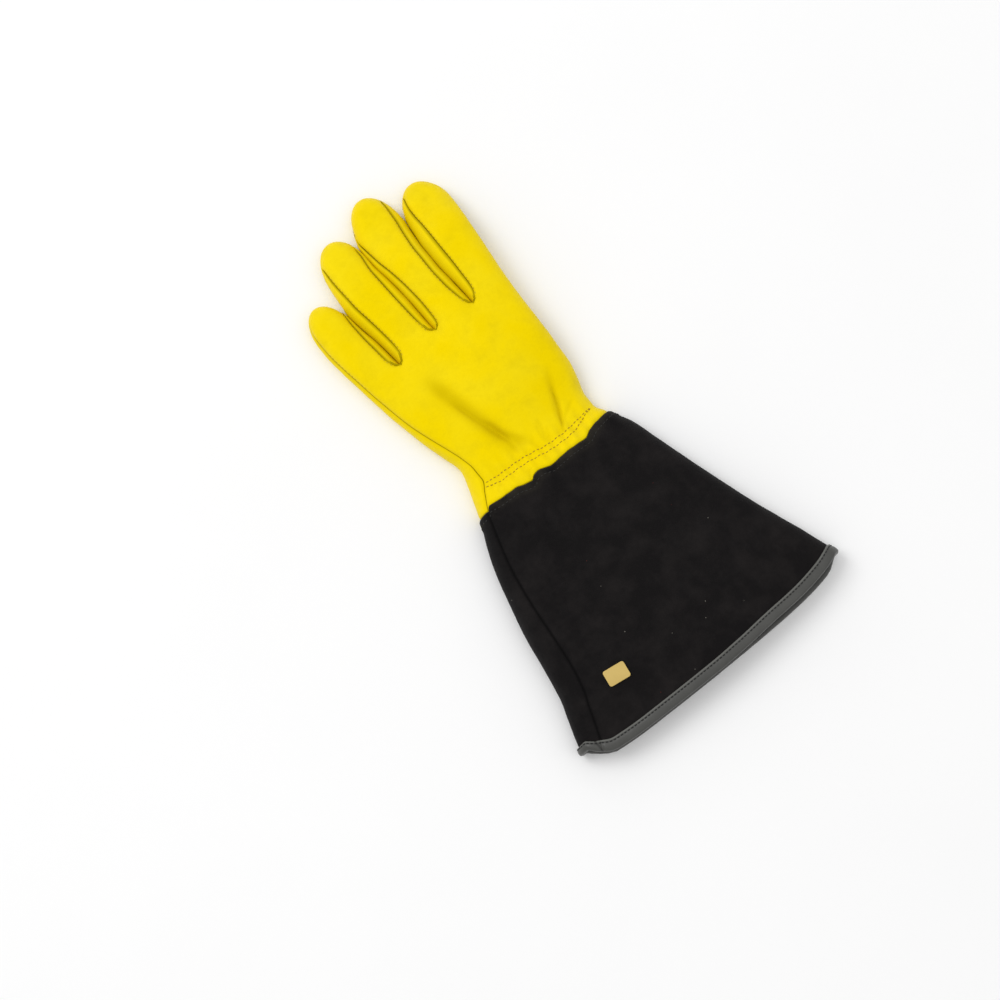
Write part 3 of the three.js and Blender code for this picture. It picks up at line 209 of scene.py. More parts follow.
# Soft folds: a valley line through three points, its half width and depth. A ridge has a negative depth.
FOLD_COLUMNS = "x1 y1 x2 y2 x3 y3 width depth"
BACK_FOLDS = table(
    FOLD_COLUMNS,
    (-32, 84, -24, 48, -14, 6, 5, 2.1), (-20, 34, -15, 17, -3, 0, 3, 1.4),
    (-17, 24, -14, 12, -14, 0, 1.6, 0.8), (38, 36, 29, 15, 19, -6, 2.8, 1.1),
    (33, 25, 27, 8, 19, -7, 1.1, 1.3), (10.5, 12, 9, 4, 6, -5, 1.3, 0.5),
    (12, 3, 10, -2, 8, -7, 1, 0.45), (24, 92, 36, 78, 46, 56, 5, -0.4), (27, 95, 36, 79, 46, 60, 1.5, -0.15),
    (39, 7.5, 30, 2.5, 22, -2.7, 1.2, 0.55), (-34.7, -7.8, -37.9, -10.1, -41, -12, 1, 0.45),
    (-14.9, -12.3, -16.7, -15.7, -18.5, -20, 1.1, 0.6), (7.7, 9.9, 5.3, 1.2, 4.4, -5.8, 1, 0.45),
    (-28, 58, -22.3, 37, -13.7, 12.7, 1.5, 0.9),
    (-17, -22, -31, -52, -38, -98, 9, 3), (10, -40, 14, -80, 30, -120, 22, -1.2))
PALM_FOLDS = table(
    FOLD_COLUMNS,
    (-48, 78, -30, 62, -12, 44, 5, 1.4), (-42, 48, -26, 36, -10, 26, 5, 1.2),
    (-30, -30, -34, -60, -40, -100, 8, 1.5))
THUMB = SimpleNamespace(
    x=24.0, y=40.0, half_width=17.0, half_length=28.0, throat=76.0, clearance=0.5, low=0.1, tip=139.0,
    tip_length=22.0, middle_share=0.45, across=2.3, up=2.6, top_below=1.1, bottom_above=-0.9, swell=1.06,
    height_share=0.5, collar=1.2, drop=1.4, sides=72, root_rings=16, rings=30, last_angle=0.03,
    rows=table("y x half_width height", (76, 29, 17.5, 11.4), (90, 33.5, 18, 11.5), (104, 37, 17.5, 11.5),
               (117, 39.5, 16.5, 11.4), (139, 41, 15, 11)))
BINDING = SimpleNamespace(
    width=6.8, inner_width=6.5, leather=0.8, clearance=0.15, suede=2.0, end=(-105.0, -90.0), narrow=0.62,
    bulge=0.62, bend=1.35, bend_steps=9)
# The binding's profile: places back from the cuff's edge with a height. The upper leg's heights are counted
# from the strip's upper side, and those of the leg inside from its lower side.
BINDING_LEG = ((-6.0, 0.2), (-5.4, 0.05), (-5.0, -0.08), (-4.6, 0.05), (-3.9, 0.28), (-2.8, 0.4),
               (-1.6, 0.35), (-0.5, 0.16))
BINDING_INSIDE = ((-0.8, 0), (-2.4, -0.05), (-4.4, 0), (-BINDING.inner_width, 0.15))
CUT_EDGE = SimpleNamespace(rows=4, foot=-0.1, side=(0.05, 0.6), corner=(0.3, 0.1))
# The strip's end lies over its start. The lap shows as a step on the glove's upper side, with a painted
# shadow along the step.
LAP = SimpleNamespace(x=-94.8, step=0.6, height=0.55, shadow=0.5, above=9.0)
TAB = SimpleNamespace(
    x=-56.3, y=-154.4, width=15.6, length=11.2, corner=1.6, thickness=0.8, turn=-8.5, seat=0.35, edge=0.3,
    sharp=40.0)

# The camera looks from the photograph's angle at a point on the glove.
CAMERA = SimpleNamespace(
    target=np.array([6.5, -32.0, 15.0]), distance=1600.0, roll=math.radians(39), height=math.radians(78),
    lens=87.26, sensor=36.0, shift=(-0.073, -0.028), clip_end=20.0)
# Soft light from a panel beside the fingers and a weaker one above: place, size and power.
LIGHTS = {"key": ((-1.2, 1.9, 2.8), 2.1, 46.0), "fill": ((0.6, -0.4, 1.6), 2.0, 4.0)}
SURROUND = 0.69
LINT_COLOURS = ((0.16, 0.15, 0.13, 1.0), (0.06, 0.012, 0.01, 1.0))
FLOOR_SIZE = 4


# Number helpers, for single numbers and for arrays alike.
def mix(a, b, t):
    """The value between a and b at t."""
    return a + (b - a) * t


def smooth(start, end, value):
    """0 before start, 1 past end, eased in between."""
    t = np.clip((value - start) / (end - start), 0, 1)
    return t * t * (3 - 2 * t)


def bell(distance, width):
    """1 at no distance, and fading softly to nothing at about twice the width."""
    return np.exp(-(distance / width) ** 2)


def read(rows, column, at, key="y"):
    """Reads a column by a cubic that never overshoots, held past the first and last row."""
    keys, values = getattr(rows, key), getattr(rows, column)
    span = np.diff(keys)
    slope = np.diff(values) / span
    before, after = slope[:-1], slope[1:]
    same = before * after > 0
    inner = np.where(same, 2 * before * after / np.where(same, before + after, 1), 0)
    tangent = np.concatenate([slope[:1], inner, slope[-1:]])
    at = np.clip(at, keys[0], keys[-1])
    i = np.clip(np.searchsorted(keys, at, side="right") - 1, 0, len(span) - 1)
    t = (at - keys[i]) / span[i]
    rest = 1 - t
    return ((1 + 2 * t) * rest ** 2 * values[i] + t * rest ** 2 * span[i] * tangent[i]
            + t * t * (3 - 2 * t) * values[i + 1] - t * t * rest * span[i] * tangent[i + 1])


def y_at(rows, x, column="y"):
    """Reads a line that is laid out by x."""
    return read(rows, column, x, key="x")


def point_at(x, y, z):
    """Points from their three coordinates."""
    return np.stack(np.broadcast_arrays(x, y, z), axis=-1).astype(float)


def unit(vectors):
    """Vectors of length one."""
    return vectors / np.maximum(np.linalg.norm(vectors, axis=-1, keepdims=True), 1e-12)


# A section is flat underneath, crowned on top and rounded at both edges. Its points are walked evenly:
# turn is 0 at the right edge, 1 on top, 2 at the left edge and 3 underneath.
def walk_of(section):
    """Lengths of a section's flat part and of its bend."""
    flat = section.half_width - section.round
    bend = (math.pi / 2) * np.hypot(section.round, section.height * BEND_HEIGHT) * math.sqrt(0.5)
    return flat, bend


def section_point(section, turn):
    """Place and height on a section at a turn, and that height as a share of the section's."""
    around = np.mod(turn, 4)
    quadrant = np.minimum(3, np.floor(around))
    part = around - quadrant
    flat, bend = walk_of(section)
    walked = np.where(quadrant % 2 == 0, 1 - part, part) * (flat + bend)
    bent = walked > flat
    angle = np.where(bent, (walked - flat) / bend * (math.pi / 2), 0)
    across = np.where(bent, flat + section.round * np.sin(angle), walked)
    side = np.where((quadrant == 0) | (quadrant == 3), 1, -1)
    edge = section.height * section.edge_share
    crown = 1 - section.crown * (across / section.half_width) ** 2
    upper = edge + (section.height - edge) * np.cos(angle) * crown
    z = np.where(quadrant < 2, upper, edge - edge * np.cos(angle))
    return section.x + side * across, z, z / section.height


def turn_at(section, x, above):
    """The turn at which a section passes a place, on its upper or lower side."""
    flat, bend = walk_of(section)
    off = np.minimum(np.abs(x - section.x), section.half_width)
    angle = np.arcsin(np.clip((off - flat) / section.round, 0, 1))
    walked = np.where(off > flat, flat + bend * angle / (math.pi / 2), off) / (flat + bend)
    if above:
        return np.where(x >= section.x, 1 - walked, 1 + walked)
    return np.where(x < section.x, 3 - walked, 3 + walked)


def trunk_section(y):
    """The section of the cuff and hand at y."""
    left, right = read(TRUNK, "left", y), read(TRUNK, "right", y)
    return SimpleNamespace(
        x=(left + right) / 2, half_width=(right - left) / 2, height=read(TRUNK, "height", y), **HAND_FORM)


def round_off(to_tip, length):
    """How much of a section is left at a distance from the tip, for a tip that ends round."""
    return np.sqrt(np.maximum(0, 1 - np.clip(1 - to_tip / length, 0, 1) ** 2))


def finger_section(finger, y):
    """The section of a finger at y."""
    left, right = read(finger.rows, "left", y), read(finger.rows, "right", y)
    to_tip = np.maximum(LEAST_TO_TIP, finger.tip - y)
    half_width = (right - left) / 2 * round_off(to_tip, finger.tip_length)
    full = read(finger.rows, "height", y)
    return SimpleNamespace(
        x=(left + right) / 2, half_width=half_width, full=full,
        height=full * round_off(to_tip, finger.tip_length * TIP_HEIGHT_SHARE),
        round=half_width * FINGER_ROUND_SHARE, **FINGER_FORM)


def raised(x, y, z, share):
    """A height with what the tucked thumb lifts the palm and index finger by."""
    lift = LIFT.height * smooth(*LIFT.rise, y) * (1 - smooth(*LIFT.fall, y)) * smooth(*LIFT.side, x)
    return z + lift * mix(1, LIFT.top_share, share)


def trunk_point(y, turn):
    """A point of the cuff or hand."""
    x, z, share = section_point(trunk_section(y), turn)
    hem_up = HEM_LIFT[0] * (1 - smooth(0, HEM_LIFT[1], y - y_at(HEM, x, "under")))
    return point_at(x, y, raised(x, y, z + hem_up, share))


def finger_point(finger, y, turn):
    """A point of a finger, whose section shrinks about the height of its edges towards the tip."""
    section = finger_section(finger, y)
    x, z, share = section_point(section, turn)
    return point_at(x, y, raised(x, y, z + (section.full - section.height) * section.edge_share, share))


def boundary_x(index, y):
    """The lines between the four strips across the hand, from the side seam at 0."""
    if index == 0:
        return read(SIDE_SEAM, "x", y)
    return mix(WRIST_X[index - 1], CLEFTS.x[index - 1], np.clip(y / CLEFTS.y[index - 1], 0, 1))


def trunk_turn(index, y, above):
    """The turn of such a line. The cuff keeps the turns of the wrist."""
    if index == 4:
        return (0 if above else 4) - EDGE_SEAM_TURN * smooth(*EDGE_SEAM_START, y)
    if index == 0:
        return turn_at(trunk_section(y), boundary_x(0, y), True)
    at = np.maximum(y, 0)
    return turn_at(trunk_section(at), boundary_x(index, at), above)


def lies_on_top(number, side, above):
    """Whether a seam lies on top. The little finger's outer seam does, for the palm too."""
    return above or (number == 0 and side == 0)


def finger_turn(number, side, y, above):
    """The turn of a finger's seam, on its left (side 0) or its right (side 1)."""
    finger = FINGERS[number]
    if number == 3 and side == 1:
        return (0 if above else 4) - EDGE_SEAM_TURN * np.clip((finger.tip - y) / EDGE_SEAM_FADE, 0, 1)
    section = finger_section(finger, y)
    on_top = lies_on_top(number, side, above)
    inset = read(finger.rows, "inset_right" if side else "inset_left", y)
    inset = np.minimum(inset * (1 if on_top else PALM_INSET_SHARE), section.half_width * MOST_INSET)
    x = section.x + (section.half_width - inset) * (1 if side else -1)
    return turn_at(section, x, on_top)


def front_seam_y(x):
    """The seam on the palm that the two separate finger fronts are sewn to."""
    off = np.abs(x - FRONT_SEAM.x) / FRONT_SEAM.half_width
    inside = FRONT_SEAM.y + FRONT_SEAM.rise * off ** 2
    outside = mix(FRONT_SEAM.y + FRONT_SEAM.rise, FRONT_SEAM.edge, np.clip(off - 1, 0, 1))
    return np.where(off <= 1, inside, outside)


def between(station, joint, gather, top, cleft):
    """The y of a row: 0 at the joint, 1 and 2 at the two stitch rows, 3 below the clefts and 4 at them."""
    lower = gather - GATHER_PITCH
    y = joint
    for leg, (start, end) in enumerate(((joint, lower), (lower, gather), (gather, top), (top, cleft))):
        y = y + (end - start) * np.clip(station - leg, 0, 1)
    return y


def row_y(station, x, above):
    """The y of a row at a place on the back, or on the palm, where the wrist's lines run straight."""
    share = np.clip((x - WRIST_LEFT) / (WRIST_RIGHT - WRIST_LEFT), 0, 1)
    cleft = y_at(CLEFT_ROW, x)
    if above:
        top = np.minimum(cleft - CLEFT_MARGIN, KNUCKLE_EDGE)
        return between(station, y_at(JOINT, x), y_at(GATHER, x), top, cleft)
    ends = [[y_at(line, at) for at in (WRIST_LEFT, WRIST_RIGHT)] for line in (JOINT, GATHER)]
    return between(station, mix(*ends[0], share), mix(*ends[1], share), front_seam_y(x), cleft)


def edge_row_y(station, strip):
    """The y of a row at the outer edges, which the back and the palm share."""
    x = WRIST_RIGHT if strip else WRIST_LEFT
    return between(station, y_at(JOINT, x), y_at(GATHER, x), FRONT_SEAM.edge, KNUCKLE_EDGE)


def crowded(count):
    """Even steps from 0 to 1 that lie closer together towards both ends."""
    even = np.linspace(0, 1, count + 1)
    across = even - EDGE_CROWDING * np.sin(2 * math.pi * even)
    across[-1] = 1
    return across


def stations():
    """The rows of the hand."""
    legs = [np.linspace(leg, leg + 1, count, endpoint=False) for leg, count in enumerate(TRUNK_LEGS)]
    return np.concatenate(legs + [[4.0]])


def finger_steps():
    """The rows of a finger, evenly along it and then evenly round its tip."""
    up = np.linspace(FIRST_FINGER_ROW, 1 - TIP_SHARE, FINGER_ROWS[0], endpoint=False)
    angle = np.linspace(math.pi / 2, 0, FINGER_ROWS[1])
    return np.concatenate([up, 1 - TIP_SHARE * (1 - np.cos(angle))])


def columns_of(strip, above):
    """The columns across one strip."""
    return crowded(WRAP_COLUMNS if strip == 0 and not above else STRIP_COLUMNS)


def blend_share(strip, y):
    """How far the hand's form has turned into the finger's."""
    cleft = CLEFTS.y[min(strip, 2)]
    return smooth(cleft - CLEFT_BLEND[0], cleft + CLEFT_BLEND[1], y)


def trunk_strip(strip, above):
    """One strip of the back or palm, from the joint to the clefts."""
    across = columns_of(strip, above)[None, :]
    station = stations()[:, None]
    next_x = WRIST_RIGHT if strip == 3 else boundary_x(strip + 1, MID_HAND)
    y = row_y(station, mix(boundary_x(strip, MID_HAND), next_x, across), above)

    def turn_of(rows):
        return mix(trunk_turn(strip, rows, above), trunk_turn(strip + 1, rows, above), across)

    for _ in range(ROW_PASSES):
        x = trunk_point(y, turn_of(y))[..., 0]
        if strip == 0:
            x[:, 0] = boundary_x(0, y[:, 0])
        y = row_y(station, x, above)
    if strip in (0, 3):
        edge = 0 if strip == 0 else -1
        fade = 1 - smooth(0, EDGE_FADE, across if strip == 0 else 1 - across)
        y = y + (edge_row_y(station[:, 0], strip) - y[:, edge])[:, None] * fade
    points = trunk_point(y, turn_of(y))
    finger_at = mix(finger_turn(strip, 0, y, above), finger_turn(strip, 1, y, above), across)
    return mix(points, finger_point(FINGERS[strip], y, finger_at), blend_share(strip, y)[..., None])


def finger_row_y(number, side, t):
    """The y of a finger's row at one of its sides."""
    cleft = number - 1 + side
    start = CLEFTS.y[cleft] if 0 <= cleft <= 2 else KNUCKLE_EDGE
    return mix(start, FINGERS[number].tip, t)


def trunk_turn_of_seam(number, side, y, above):
    """The turn on the hand's section at which it passes a finger's seam."""
    if number == 3 and side == 1:
        return trunk_turn(4, y, above)
    x, _, _ = section_point(finger_section(FINGERS[number], y), finger_turn(number, side, y, above))
    return turn_at(trunk_section(y), x, lies_on_top(number, side, above))


def finger_strip(number, above):
    """The back or palm side of one finger, closed in a point at its tip."""
    finger = FINGERS[number]
    across = columns_of(number, above)[None, :]
    t = finger_steps()[:, None]
    y = mix(finger_row_y(number, 0, t), finger_row_y(number, 1, t), across)
    turn = mix(finger_turn(number, 0, y, above), finger_turn(number, 1, y, above), across)
    points = finger_point(finger, y, turn)
    seams = [trunk_turn_of_seam(number, side, y, above) for side in (0, 1)]
    points = mix(trunk_point(y, mix(*seams, across)), points, blend_share(number, y)[..., None])
    points[-1] = points[-1].mean(axis=0)
    return points


def finger_side(number, side, strips):
    """The side of a finger between its upper and lower seam, from the top down."""
    column = -1 if side else 0
    y = finger_row_y(number, side, finger_steps())[:, None]
    down = np.linspace(0, 1, SIDE_COLUMNS + 1)
    top_turn = finger_turn(number, side, y, True)
    palm_turn = finger_turn(number, side, y, False) - (4 if side else 0)
    points = finger_point(FINGERS[number], y, mix(top_turn, palm_turn, down[None, :]))
    upper_off = strips[True][number].finger[:, column] - points[:, 0]
    lower_off = strips[False][number].finger[:, column] - points[:, -1]
    down = down[None, :, None]
    points = points + upper_off[:, None] * (1 - down) + lower_off[:, None] * down
    width = np.linalg.norm(points[:, 0] - points[:, -1], axis=-1)
    ended = np.flatnonzero(width < LEAST_SIDE)
    if len(ended):
        points = points[:ended[0] + 1]
        points[-1] = points[-1, :1]
    return points


def make_strips():
    """The four strips of the back and of the palm, sewn together along their shared lines."""
    strips = {}
    for above in (True, False):
        row = [SimpleNamespace(trunk=trunk_strip(n, above), finger=finger_strip(n, above)) for n in range(4)]
        for left, right, number in zip(row, row[1:], range(3)):
            shared = (left.trunk[:, -1] + right.trunk[:, 0]) / 2
            for strip, column, across in ((left, -1, columns_of(number, above)),
                                          (right, 0, 1 - columns_of(number + 1, above))):
                fade = smooth(1 - EDGE_FADE, 1, across)[None, :, None]
                strip.trunk += (shared - strip.trunk[:, column])[:, None] * fade
                strip.trunk[:, column] = shared
        strips[above] = row
    return strips


def grid(points, above, flip):
    """A grid of points with its side of the glove, and whether its rows and columns face down."""
    return SimpleNamespace(points=points, above=above, flip=flip)


def fourchette_grid(index, strips):
    """A strip down the side of one finger, over the cleft and up the side of the next."""
    ends = [strips[above][index].trunk[-1, -1] for above in (True, False)]
    web = mix(ends[0], ends[1], np.linspace(0, 1, SIDE_COLUMNS + 1)[:, None])
    left, right = finger_side(index, 1, strips), finger_side(index + 1, 0, strips)
    part = grid(np.concatenate([left[::-1], web[None], right]), False, False)
    before, after = (finger_section(FINGERS[number], part.points[..., 1]) for number in (index, index + 1))
    apart = after.x - after.half_width - before.x - before.half_width
    part.down = np.broadcast_to(np.linspace(0, 1, SIDE_COLUMNS + 1), apart.shape)
    part.shut = 1 - smooth(FINGERS_SHUT.near, FINGERS_SHUT.apart, apart)
    return part


def cuff_grid(strips):
    """The cuff as one wrap, from the side seam over the back, round the edge and back underneath."""
    v = np.linspace(0, 1, CUFF_ROWS + 1)[:, None]
    blocks, sides = [], []
    for above in (True, False):
        for strip in ((0, 1, 2, 3) if above else (3, 2, 1, 0)):
            even = columns_of(strip, above)
            spread = HEM_SPREAD.get("index" if strip == 3 else "wrap" if strip == 0 and not above else "")
            at_hem = even
            if spread is not None:
                keys = SimpleNamespace(y=np.linspace(0, 1, len(spread)), spread=spread)
                at_hem = read(keys, "spread", even)
            joint = strips[above][strip].trunk[0]
            hem_turn = mix(trunk_turn(strip, HEM_AT, above), trunk_turn(strip + 1, HEM_AT, above), at_hem)
            hem_x = trunk_point(HEM_AT, hem_turn)[..., 0]
            under = 0 if above else smooth(0, HEM_UNDER, 1 - at_hem) if strip == 3 else 1
            hem_y = mix(y_at(HEM, hem_x), y_at(HEM, hem_x, "under"), under)
            y = mix(joint[:, 1], hem_y, v)
            across = mix(even, at_hem, smooth(0, 0.5, v))
            turn = mix(trunk_turn(strip, y, above), trunk_turn(strip + 1, y, above), across)
            points = trunk_point(y, turn)
            points[0] = joint
            if not above:
                points = points[:, ::-1]
            if blocks:
                points = points[:, 1:]
            blocks.append(points)
            sides.append(np.full(points.shape[1], above))
    points = np.concatenate(blocks, axis=1)
    points[:, -1] = points[:, 0]
    return grid(points, np.concatenate(sides)[None, :], False)


def oval(turn, inset):
    """A place on the thumb's hole in the palm."""
    return (THUMB.x + (THUMB.half_width - inset) * np.cos(turn),
            THUMB.y + (THUMB.half_length - inset) * np.sin(turn))


def thumb_section(y, turn):
    """A point of the flattened thumb."""
    to_tip = np.maximum(LEAST_TO_TIP, THUMB.tip - y)
    half = read(THUMB.rows, "half_width", y) * round_off(to_tip, THUMB.tip_length)
    full = read(THUMB.rows, "height", y)
    height = full * round_off(to_tip, THUMB.tip_length * THUMB.height_share)

    def squared(value, power):
        return np.sign(value) * np.abs(value) ** (2 / power)

    rise = np.clip(squared(np.sin(turn), THUMB.up) * THUMB.swell, THUMB.bottom_above, THUMB.top_below)
    x = read(THUMB.rows, "x", y) + half * squared(np.cos(turn), THUMB.across)
    return point_at(x, y, THUMB.low + full * THUMB.middle_share + height / 2 * rise)


def thumb_grid():
    """The thumb: a tube from the hole in the palm, folded flat under the palm and the index finger."""
    turn = np.linspace(0, 2 * math.pi, THUMB.sides + 1)
    turn[-1] = 0
    x, y = oval(turn, THUMB.clearance)
    palm = trunk_point(y, turn_at(trunk_section(y), x, False))[..., 2]

    def rim(drop):
        return point_at(x, y, np.maximum(THUMB.low, palm - drop))[None]

    t = np.linspace(0, 1, THUMB.root_rings + 1)[1:-1, None, None]
    start, end = rim(THUMB.drop), thumb_section(THUMB.throat, turn)[None]
    root = mix(start, end, t)
    root[..., 2] = mix(start[..., 2], end[..., 2], 1 - (1 - t[..., 0]) ** 2)
    angle = np.linspace(math.pi / 2, THUMB.last_angle, THUMB.rings)
    straight = np.linspace(THUMB.throat, THUMB.tip - THUMB.tip_length, THUMB.rings, endpoint=False)
    rows = np.concatenate([straight, THUMB.tip - THUMB.tip_length * (1 - np.cos(angle))])
    body = thumb_section(rows[:, None], turn[None, :])
    tip = np.broadcast_to(body[-1].mean(axis=0), body[-1:].shape)
    return grid(np.concatenate([rim(-THUMB.collar), rim(THUMB.clearance), root, body, tip]), False, False)


# Relief along the surface's normal: folds, gathers, pleats and the unevenness of soft leather.
def fold_depth(folds, x, y):
    """How deep the folds are at a place."""
    total = np.zeros(np.shape(x))
    for x1, y1, x2, y2, x3, y3, width, depth in zip(*vars(folds).values()):
        nearest = np.full(np.shape(x), np.inf)
        along = np.zeros(np.shape(x))
        for leg, (ax, ay, bx, by) in enumerate(((x1, y1, x2, y2), (x2, y2, x3, y3))):
            dx, dy = bx - ax, by - ay
            t = np.clip(((x - ax) * dx + (y - ay) * dy) / (dx * dx + dy * dy), 0, 1)
            distance = np.hypot(x - ax - dx * t, y - ay - dy * t)
            closer = distance < nearest
            nearest = np.where(closer, distance, nearest)
            along = np.where(closer, (leg + t) / 2, along)
        ends = smooth(0, FOLD_ENDS.start, along) * (1 - FOLD_ENDS.left * smooth(FOLD_ENDS.end, 1, along))
        total += depth * ends * bell(nearest, width)
    return total


def unevenness(points, scale):
    """Soft noise from -1 to 1 whose waves are about scale millimetres long."""
    flat = points.reshape(-1, 3) / scale
    values = [noise.noise(place) for place in flat.tolist()]
    return np.array(values).reshape(points.shape[:-1])


def relief(points, above):
    """How far folds and gathers move the surface out, and how deep in a crease it lies, which sets how much
    painted crease shade it gets.
    """
    x, y = points[..., 0], points[..., 1]
    depth = np.where(above, fold_depth(BACK_FOLDS, x, y), fold_depth(PALM_FOLDS, x, y))
    off = y - (y_at(GATHER, x) - GATHER_PITCH / 2)
    inside = np.where(above, 1 - smooth(PLEAT.full_to, PLEAT.none_from, np.abs(x)), 0)
    rows = GATHER_DEPTH * bell(off, GATHER_PITCH)
    pleats = PLEAT.depth * np.cos(2 * math.pi * x / PLEAT.pitch) * bell(off, PLEAT.reach)
    return -depth - (rows + pleats) * inside, depth


def share_normals(panels):
    """Gives every grid the normals of all the panels together, and one number for each place."""
    grids = [part for panel in panels.values() for part in panel]
    sums = []
    for part in grids:
        p = part.points
        face = np.cross(p[1:, 1:] - p[:-1, :-1], p[:-1, 1:] - p[1:, :-1]) * (-1 if part.flip else 1)
        normal = np.zeros_like(p)
        for rows in (slice(None, -1), slice(1, None)):
            for columns in (slice(None, -1), slice(1, None)):
                normal[rows, columns] += face
        sums.append(normal.reshape(-1, 3))
    places = np.concatenate([part.points.reshape(-1, 3) for part in grids])
    places = np.round(places * PLACES_PER_MM).astype(np.int64)
    _, numbers = np.unique(places, axis=0, return_inverse=True)
    numbers = numbers.reshape(-1)
    total = np.zeros((numbers.max() + 1, 3))
    np.add.at(total, numbers, np.concatenate(sums))
    total = unit(total)
    start = 0
    for part in grids:
        shape = part.points.shape[:2]
        part.number = numbers[start:start + shape[0] * shape[1]].reshape(shape)
        part.normal = total[part.number]
        start += shape[0] * shape[1]


def rim_of(panel):
    """The edges of a panel that it doesn't share with itself, each as its grid and two corners."""
    found = {}
    for part in panel:
        rows, columns = part.number.shape
        row, column = np.arange(rows), np.arange(columns)
        sides = [(row, 0 * row), (0 * column + rows - 1, column), (row[::-1], 0 * row + columns - 1),
                 (0 * column, column[::-1])]
        for i, j in sides:
            for k in range(len(i) - 1):
                a, b = (i[k], j[k]), (i[k + 1], j[k + 1])
                if part.flip:
                    a, b = b, a
                ends = (part.number[a], part.number[b])
                if ends[0] == ends[1]:
                    continue
                key = tuple(sorted(ends))
                found[key] = None if key in found else (part, a, b)
    return [entry for entry in found.values() if entry]


def finish_panel(name, panel, sizes):
    """Moves a panel's points by its relief, rolls its seams in and draws its rim back from them."""
    inward, places, heading = {}, {}, {}
    for part, a, b in rim_of(panel):
        along = unit(part.points[b] - part.points[a])
        for end in (a, b):
            number = part.number[end]
            inward[number] = inward.get(number, 0) + unit(np.cross(part.normal[end], along))
            places[number] = part.points[end]
            heading[number] = part.normal[end]
    sewn = [number for number in places if name != "cuff" or places[number][1] >= HEM_BELOW]
    tree = kdtree.KDTree(len(sewn))
    pull = np.zeros((1 + max(int(part.number.max()) for part in panel), 3))
    for index, number in enumerate(sewn):
        tree.insert(places[number].tolist(), index)
        pull[number] = unit(inward[number])
    tree.balance()
    strengths = np.array([seam_strength(places[number], heading[number]) for number in sewn])
    for part in panel:
        moved, depth = relief(part.points, part.above)
        if name not in ("cuff", "back_panel", "palm_panel"):
            moved = moved * 0
        found = [tree.find(place)[1:] for place in part.points.reshape(-1, 3).tolist()]
        nearest, distance = (np.array(column).reshape(part.points.shape[:2]) for column in zip(*found))
        strength = strengths[nearest]
        # A dark line along each seam: partly the leather's darker cut edges, partly painted shade in the
        # seam.
        part.seam = bell(distance, SEAM.line) * strength
        # Painted shade in the creases: the deeper the fold, the darker.
        part.fold = np.clip(depth / FULL_CREASE, 0, 1)
        short = unevenness(part.points + WAVES.apart, WAVES.short)
        wave = unevenness(part.points, WAVES.long) + WAVES.short_share * short
        moved = moved + wave * (1 - bell(distance, WAVES.calm)) * sizes.unevenness / METRES
        if name == "cuff":
            groove = side_seam_groove(part.points)
            moved = moved + cuff_edge(distance) - groove
            # Painted shade in the side seam's groove, as deep as the groove.
            part.seam = groove / SIDE_GROOVE.depth
            # A lighter band of suede below the upper edge.
            part.fold = np.exp(-(distance / CUFF_EDGE.edge_band) ** 4)
        elif name.startswith("fourchette_"):
            shut, down = part.shut, part.down
            moved = moved + FINGERS_SHUT.swell * shut * np.sin(math.pi * down)
            # Painted shade on the sides of touching fingers, and a painted dark line in the gap between them.
            line = FINGERS_SHUT.line * shut * smooth(*FINGERS_SHUT.line_down, down)
            part.seam = np.maximum(part.seam, line)
            part.fold = FINGERS_SHUT.shade * shut * smooth(*FINGERS_SHUT.shade_down, down)
        else:
            moved = moved - sizes.seam_roll / METRES * strength * bell(distance, SEAM.roll_width)
            # Soft painted shade beside the rolled seam.
            part.fold = np.maximum(part.fold, SEAM.shade * strength * bell(distance, SEAM.shade_width))
        part.final = part.points + part.normal * moved[..., None]
        part.final += pull[part.number] * (sizes.seam_gap / METRES)
        part.final[..., 2] = np.maximum(part.final[..., 2], 0)


def seam_strength(place, normal):
    """How plainly a seam shows at a place: not at all round a fingertip, where the leather is turned in."""
    if place[1] < KNUCKLE_EDGE:
        return 1.0
    finger = FINGERS[int(np.argmin(np.abs(FINGER_MIDDLES - place[0])))]
    on_top = smooth(*SEAM_ON_TOP, abs(normal[2]))
    return float(max(on_top, smooth(*SEAM_FROM_TIP, finger.tip - place[1])))


def cuff_edge(distance):
    """The suede's upper edge is folded in and topstitched, so it stands up in two low ribs."""
    fold = CUFF_EDGE.fold * (1 - smooth(*CUFF_EDGE.fold_end, distance))
    edge = CUFF_EDGE.edge * bell(distance, CUFF_EDGE.edge_width)
    return fold - edge - CUFF_EDGE.row * bell(distance - CUFF_EDGE.row_at, CUFF_EDGE.row_width)


def side_seam_groove(points):
    """The seam along the cuff's side."""
    off = points[..., 0] - read(SIDE_SEAM, "x", points[..., 1])
    return np.where(points[..., 2] > SIDE_GROOVE.above, SIDE_GROOVE.depth * bell(off, 1), 0)


FORM = {}


